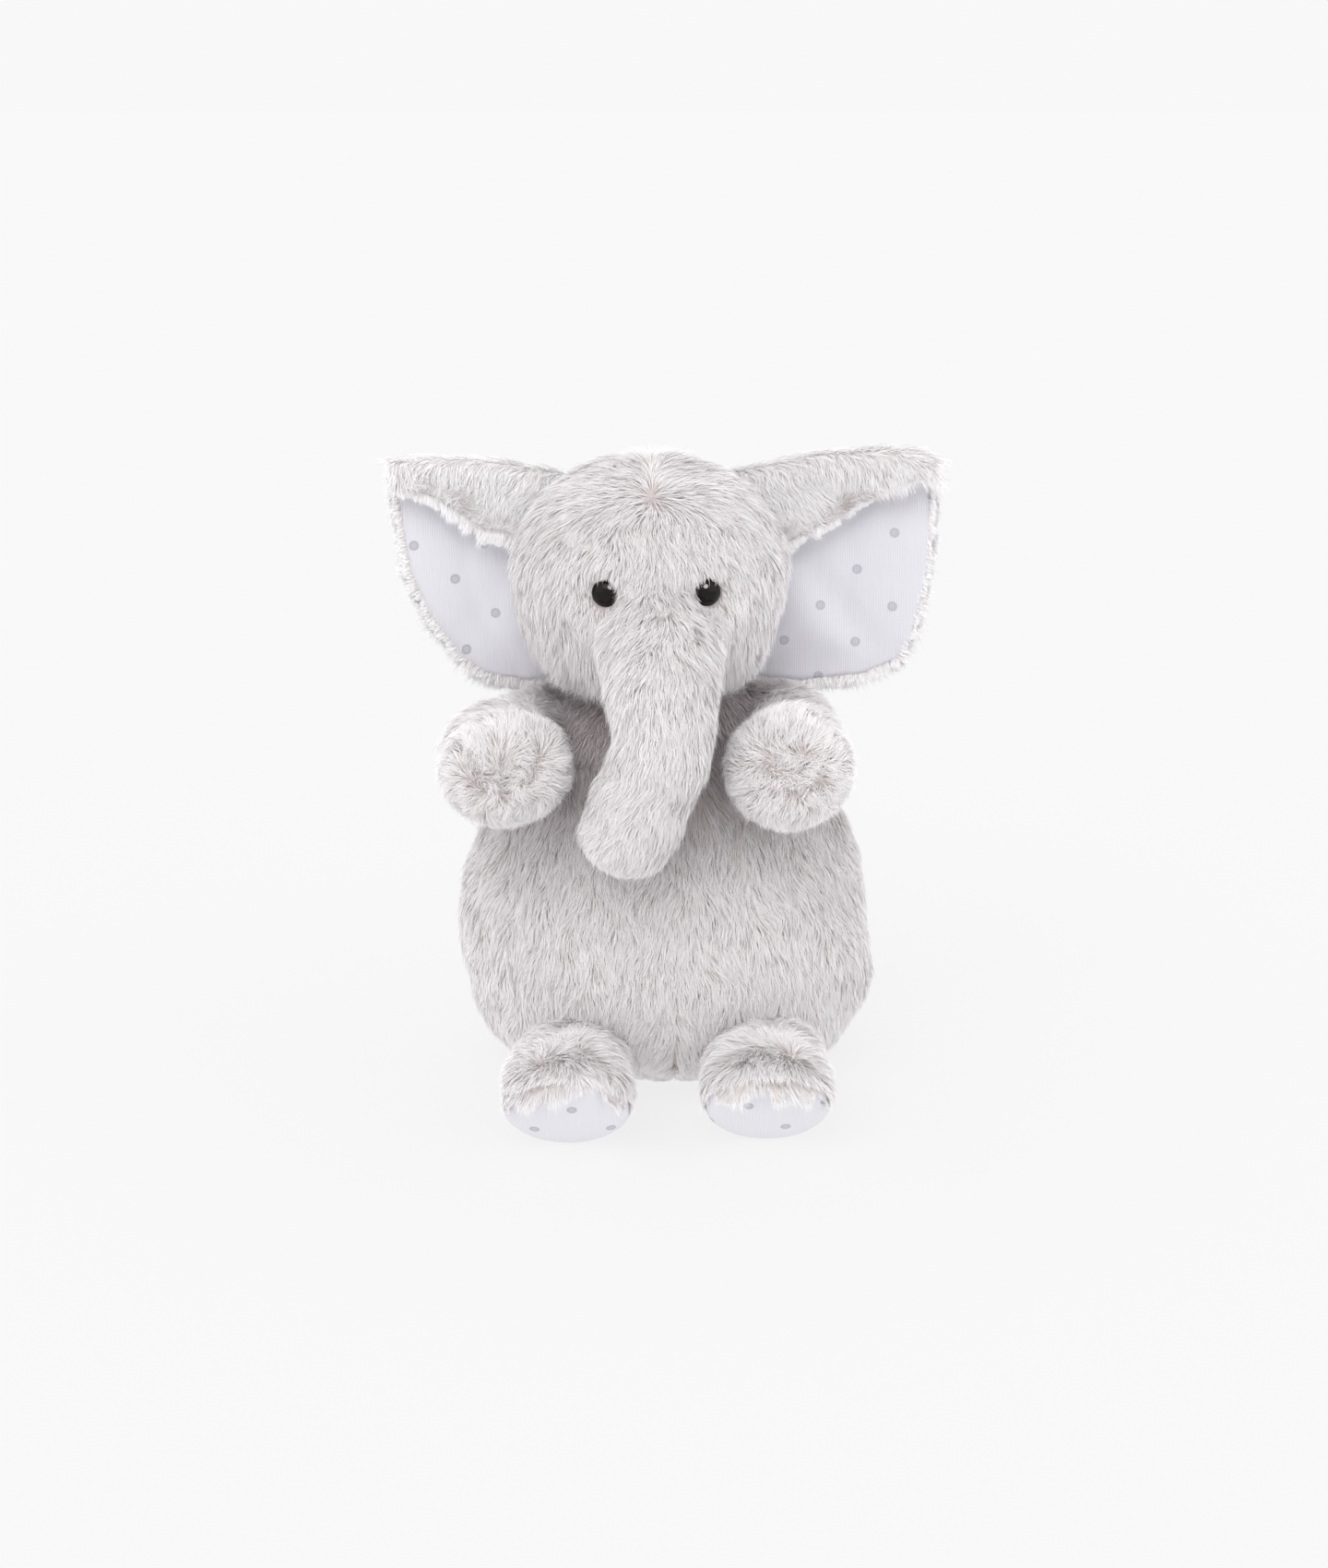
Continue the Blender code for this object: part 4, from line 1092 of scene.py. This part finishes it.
for number, side in enumerate(("left", "right")):
    away = AWAY[side]
    outer, inner = (ear_grid(side, depth) for depth in SKIN_DEPTHS)
    reference = np.zeros_like(outer)
    reference[:BACK_FACING_ROWS, :, 1] = 1.0
    back = Surface(outer, reference, closed=False)
    skin = sheet_solid(f"ear_{side}_skin", inner, outer, EAR_SKIN)

    rear, front = (ear_grid(side, depth, trim=LINING_TRIM) for depth in LINING_DEPTHS)
    crease(front, side)
    crease(rear, side)
    steps = np.linalg.norm(np.diff(rear[..., 1:], axis=0), axis=-1)
    arc = rear[:1, :, 2] + np.concatenate((np.zeros((1, rear.shape[1])), np.cumsum(steps, 0)))
    origin = DOT_ORIGIN[side]
    weave = np.stack((rear[..., 0] - origin[0], arc - origin[1]), -1).reshape(-1, 2)
    lining = sheet_solid(f"ear_{side}_lining_cloth", front, rear, JERSEY[side])
    lay_weave(lining.data, np.vstack((weave, weave)))

    hairs = back.scatter(DENSITY["ear"])
    hairs = keep(hairs, head_distance(hairs["p"]) > 0.0)
    p = hairs["p"]
    on_front = np.clip((hairs["row"] - 0.60) / 0.12, 0, 1)[:, None]
    along_top = 1.8 * hump(hairs["row"], 0.63, 0.08)[:, None]
    over = hairs["a"] + np.array((away * 0.35, -0.2, -0.3))
    behind = np.array((away * 0.5, 0.6, -0.6))
    flow = on_front * over + (1 - on_front) * behind + along_top * (away, 0, 0)
    # next to the hem the fur stands up in tufts with brown roots
    along = hairs["col"]
    hem_z = table(EAR_TOP[side], along) - EAR_FOLD - table(EAR_FLAP[side], along)
    near_hem = hump(p[:, 2] - hem_z, 0.0012, 0.0030) * (hairs["row"] > 0.70) * table(EAR_TUFTS[side], along)
    spread = 1.2 * waves(p, 0.014, 640 + number)[:, None] * X_AXIS
    flow = flow * (1 - near_hem[:, None]) + (spread - 0.8 * DOWN) * near_hem[:, None]
    bare = near_hem * (0.25 + 0.75 * patches(p, 0.0026, 630 + number))
    strands = comb_strands(
        hairs,
        flow,
        EAR_PILE,
        lean=(60 - 16 * near_hem, 84 - 16 * near_hem),
        wild=(0.17 + 0.25 * near_hem)[:, None],
        # painted light: the left ear's fur is painted a little lighter, the right ear's a little darker;
        # near the hem the brown roots show
        shade=0.50 * bare - EAR_PAINTED_LIGHT[side],
        seed=600 + 10 * number,
    )
    pieces = [strands]

    outward = away * X_AXIS
    edge, low = back.grid[:EDGE_ROWS, -1], back.grid[0]
    edge_way, low_way = outward + 0.55 * DOWN, DOWN + 0.3 * outward
    for facing in (FORWARD, BACKWARD):
        both = {"facing": facing, "per_metre": 36000, "lean": (56, 88), "stagger": 0.0006}
        pieces.append(fringe(edge, edge_way, length=0.0042, seed=700 + number, **both))
        pieces.append(fringe(low, low_way, length=0.0046, seed=720 + number, **both))
    seam = ear_grid(side, SEAM_DEPTH, trim=SEAM_TRIM)
    both = {"facing": FORWARD, "per_metre": 30000, "lean": (66, 89), "stagger": 0.0010}
    pieces.append(fringe(seam[:EDGE_ROWS, -1], edge_way, length=0.0034, seed=760 + number, **both))
    pieces.append(fringe(seam[0], low_way, length=0.0040, seed=780 + number, **both))
    rims = [(ear_grid(side, depth, trim=LINING_TRIM)[:EDGE_ROWS, -1], 0.0038) for depth in RIM_DEPTHS]
    fold_end = (back.grid[EDGE_ROWS:, -1], 0.0024)
    for row, (points, reach) in enumerate((*rims, fold_end)):
        way, facing = outward + 0.3 * DOWN, outward + 0.1 * DOWN
        pieces.append(fringe(points, way, facing, 12000, reach, (5, 40), seed=800 + 2 * row + number))
    hem = back.grid[-1] + 0.0008 * BACKWARD
    hem_sizes = table(HEM_SIZES[side], np.linspace(0, 1, len(hem)))
    hem_way = DOWN + 0.15 * outward
    pieces.append(fringe(hem, hem_way, FORWARD, 60000, hem_sizes, (48, 84), seed=740 + number))
    strands = {k: np.concatenate([one[k] for one in pieces]) for k in strands}
    fur = fur_mesh(f"ear_{side}_fur", strands, EAR_FUR)

    for piece in (skin, fur, lining):
        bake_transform(piece)
    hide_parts(f"ear_{side}_back")
    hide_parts(f"ear_{side}_lining")

# ---------------------------------------------------------------- camera, light and floor
TARGET = Vector((0, -0.010, 0.1099))
ELEVATION = math.radians(15)
REACH = 0.95
SENSOR = 24.0
VIEW_HEIGHT = 0.5667  # metres seen from bottom to top of the picture, at the toy
PICTURE_SHAPE = 20.32 / 24
camera_data = bpy.data.cameras.new("camera")
camera = bpy.data.objects.new("camera", camera_data)
bpy.context.scene.collection.objects.link(camera)
camera.location = TARGET + REACH * Vector((0, -math.cos(ELEVATION), math.sin(ELEVATION)))
camera.rotation_euler = (TARGET - camera.location).to_track_quat("-Z", "Y").to_euler()
camera_data.sensor_fit = "VERTICAL"
camera_data.sensor_height = SENSOR
camera_data.sensor_width = SENSOR * PICTURE_SHAPE
camera_data.lens = SENSOR * REACH / VIEW_HEIGHT
camera_data.clip_start = 0.01
bpy.context.scene.camera = camera

world = bpy.data.worlds.new("world")
bpy.context.scene.world = world
world.use_nodes = True
background = world.node_tree.nodes["Background"]
settings(background, Color=(0.940, 0.940, 0.942, 1), Strength=1.0)


def lamp(name, place, spread, power):
    """Distant softbox that shines from the place; spread is its width in degrees."""
    data = bpy.data.lights.new(name, "SUN")
    data.angle = math.radians(spread)
    data.energy = power
    ob = bpy.data.objects.new(name, data)
    bpy.context.scene.collection.objects.link(ob)
    ob.location = place
    ob.rotation_euler = (Vector((0, 0, 0.11)) - Vector(place)).to_track_quat("-Z", "Y").to_euler()
    return ob


lamp("key", (-0.5, -1.3, 1.6), 40, 0.77)
lamp("left_fill", (-1.4, -0.7, 0.6), 60, 0.32)
lamp("right_fill", (1.4, -0.7, 0.7), 60, 0.42)
sparkle = lamp("sparkle", (0.46, -1.58, 1.40), 30, 6.5)
sparkle.visible_diffuse = False  # it shows only as the highlight on the eyes

FLOOR_HALF = 30.0
corners = [(x * FLOOR_HALF, y * FLOOR_HALF, 0) for x, y in ((-1, -1), (1, -1), (1, 1), (-1, 1))]
floor_mesh = bpy.data.meshes.new("floor")
floor_mesh.from_pydata(corners, [], [(0, 1, 2, 3)])
floor_material, _, _, shader = principled("floor")
settings(shader, Base_Color=(0.14, 0.14, 0.14, 1), Roughness=1.0, Specular_IOR_Level=0.0)
settings(shader, Emission_Color=(1, 1, 1, 1), Emission_Strength=0.777)
floor = link("floor", floor_mesh, floor_material)

bpy.context.scene.view_settings.view_transform = "Standard"
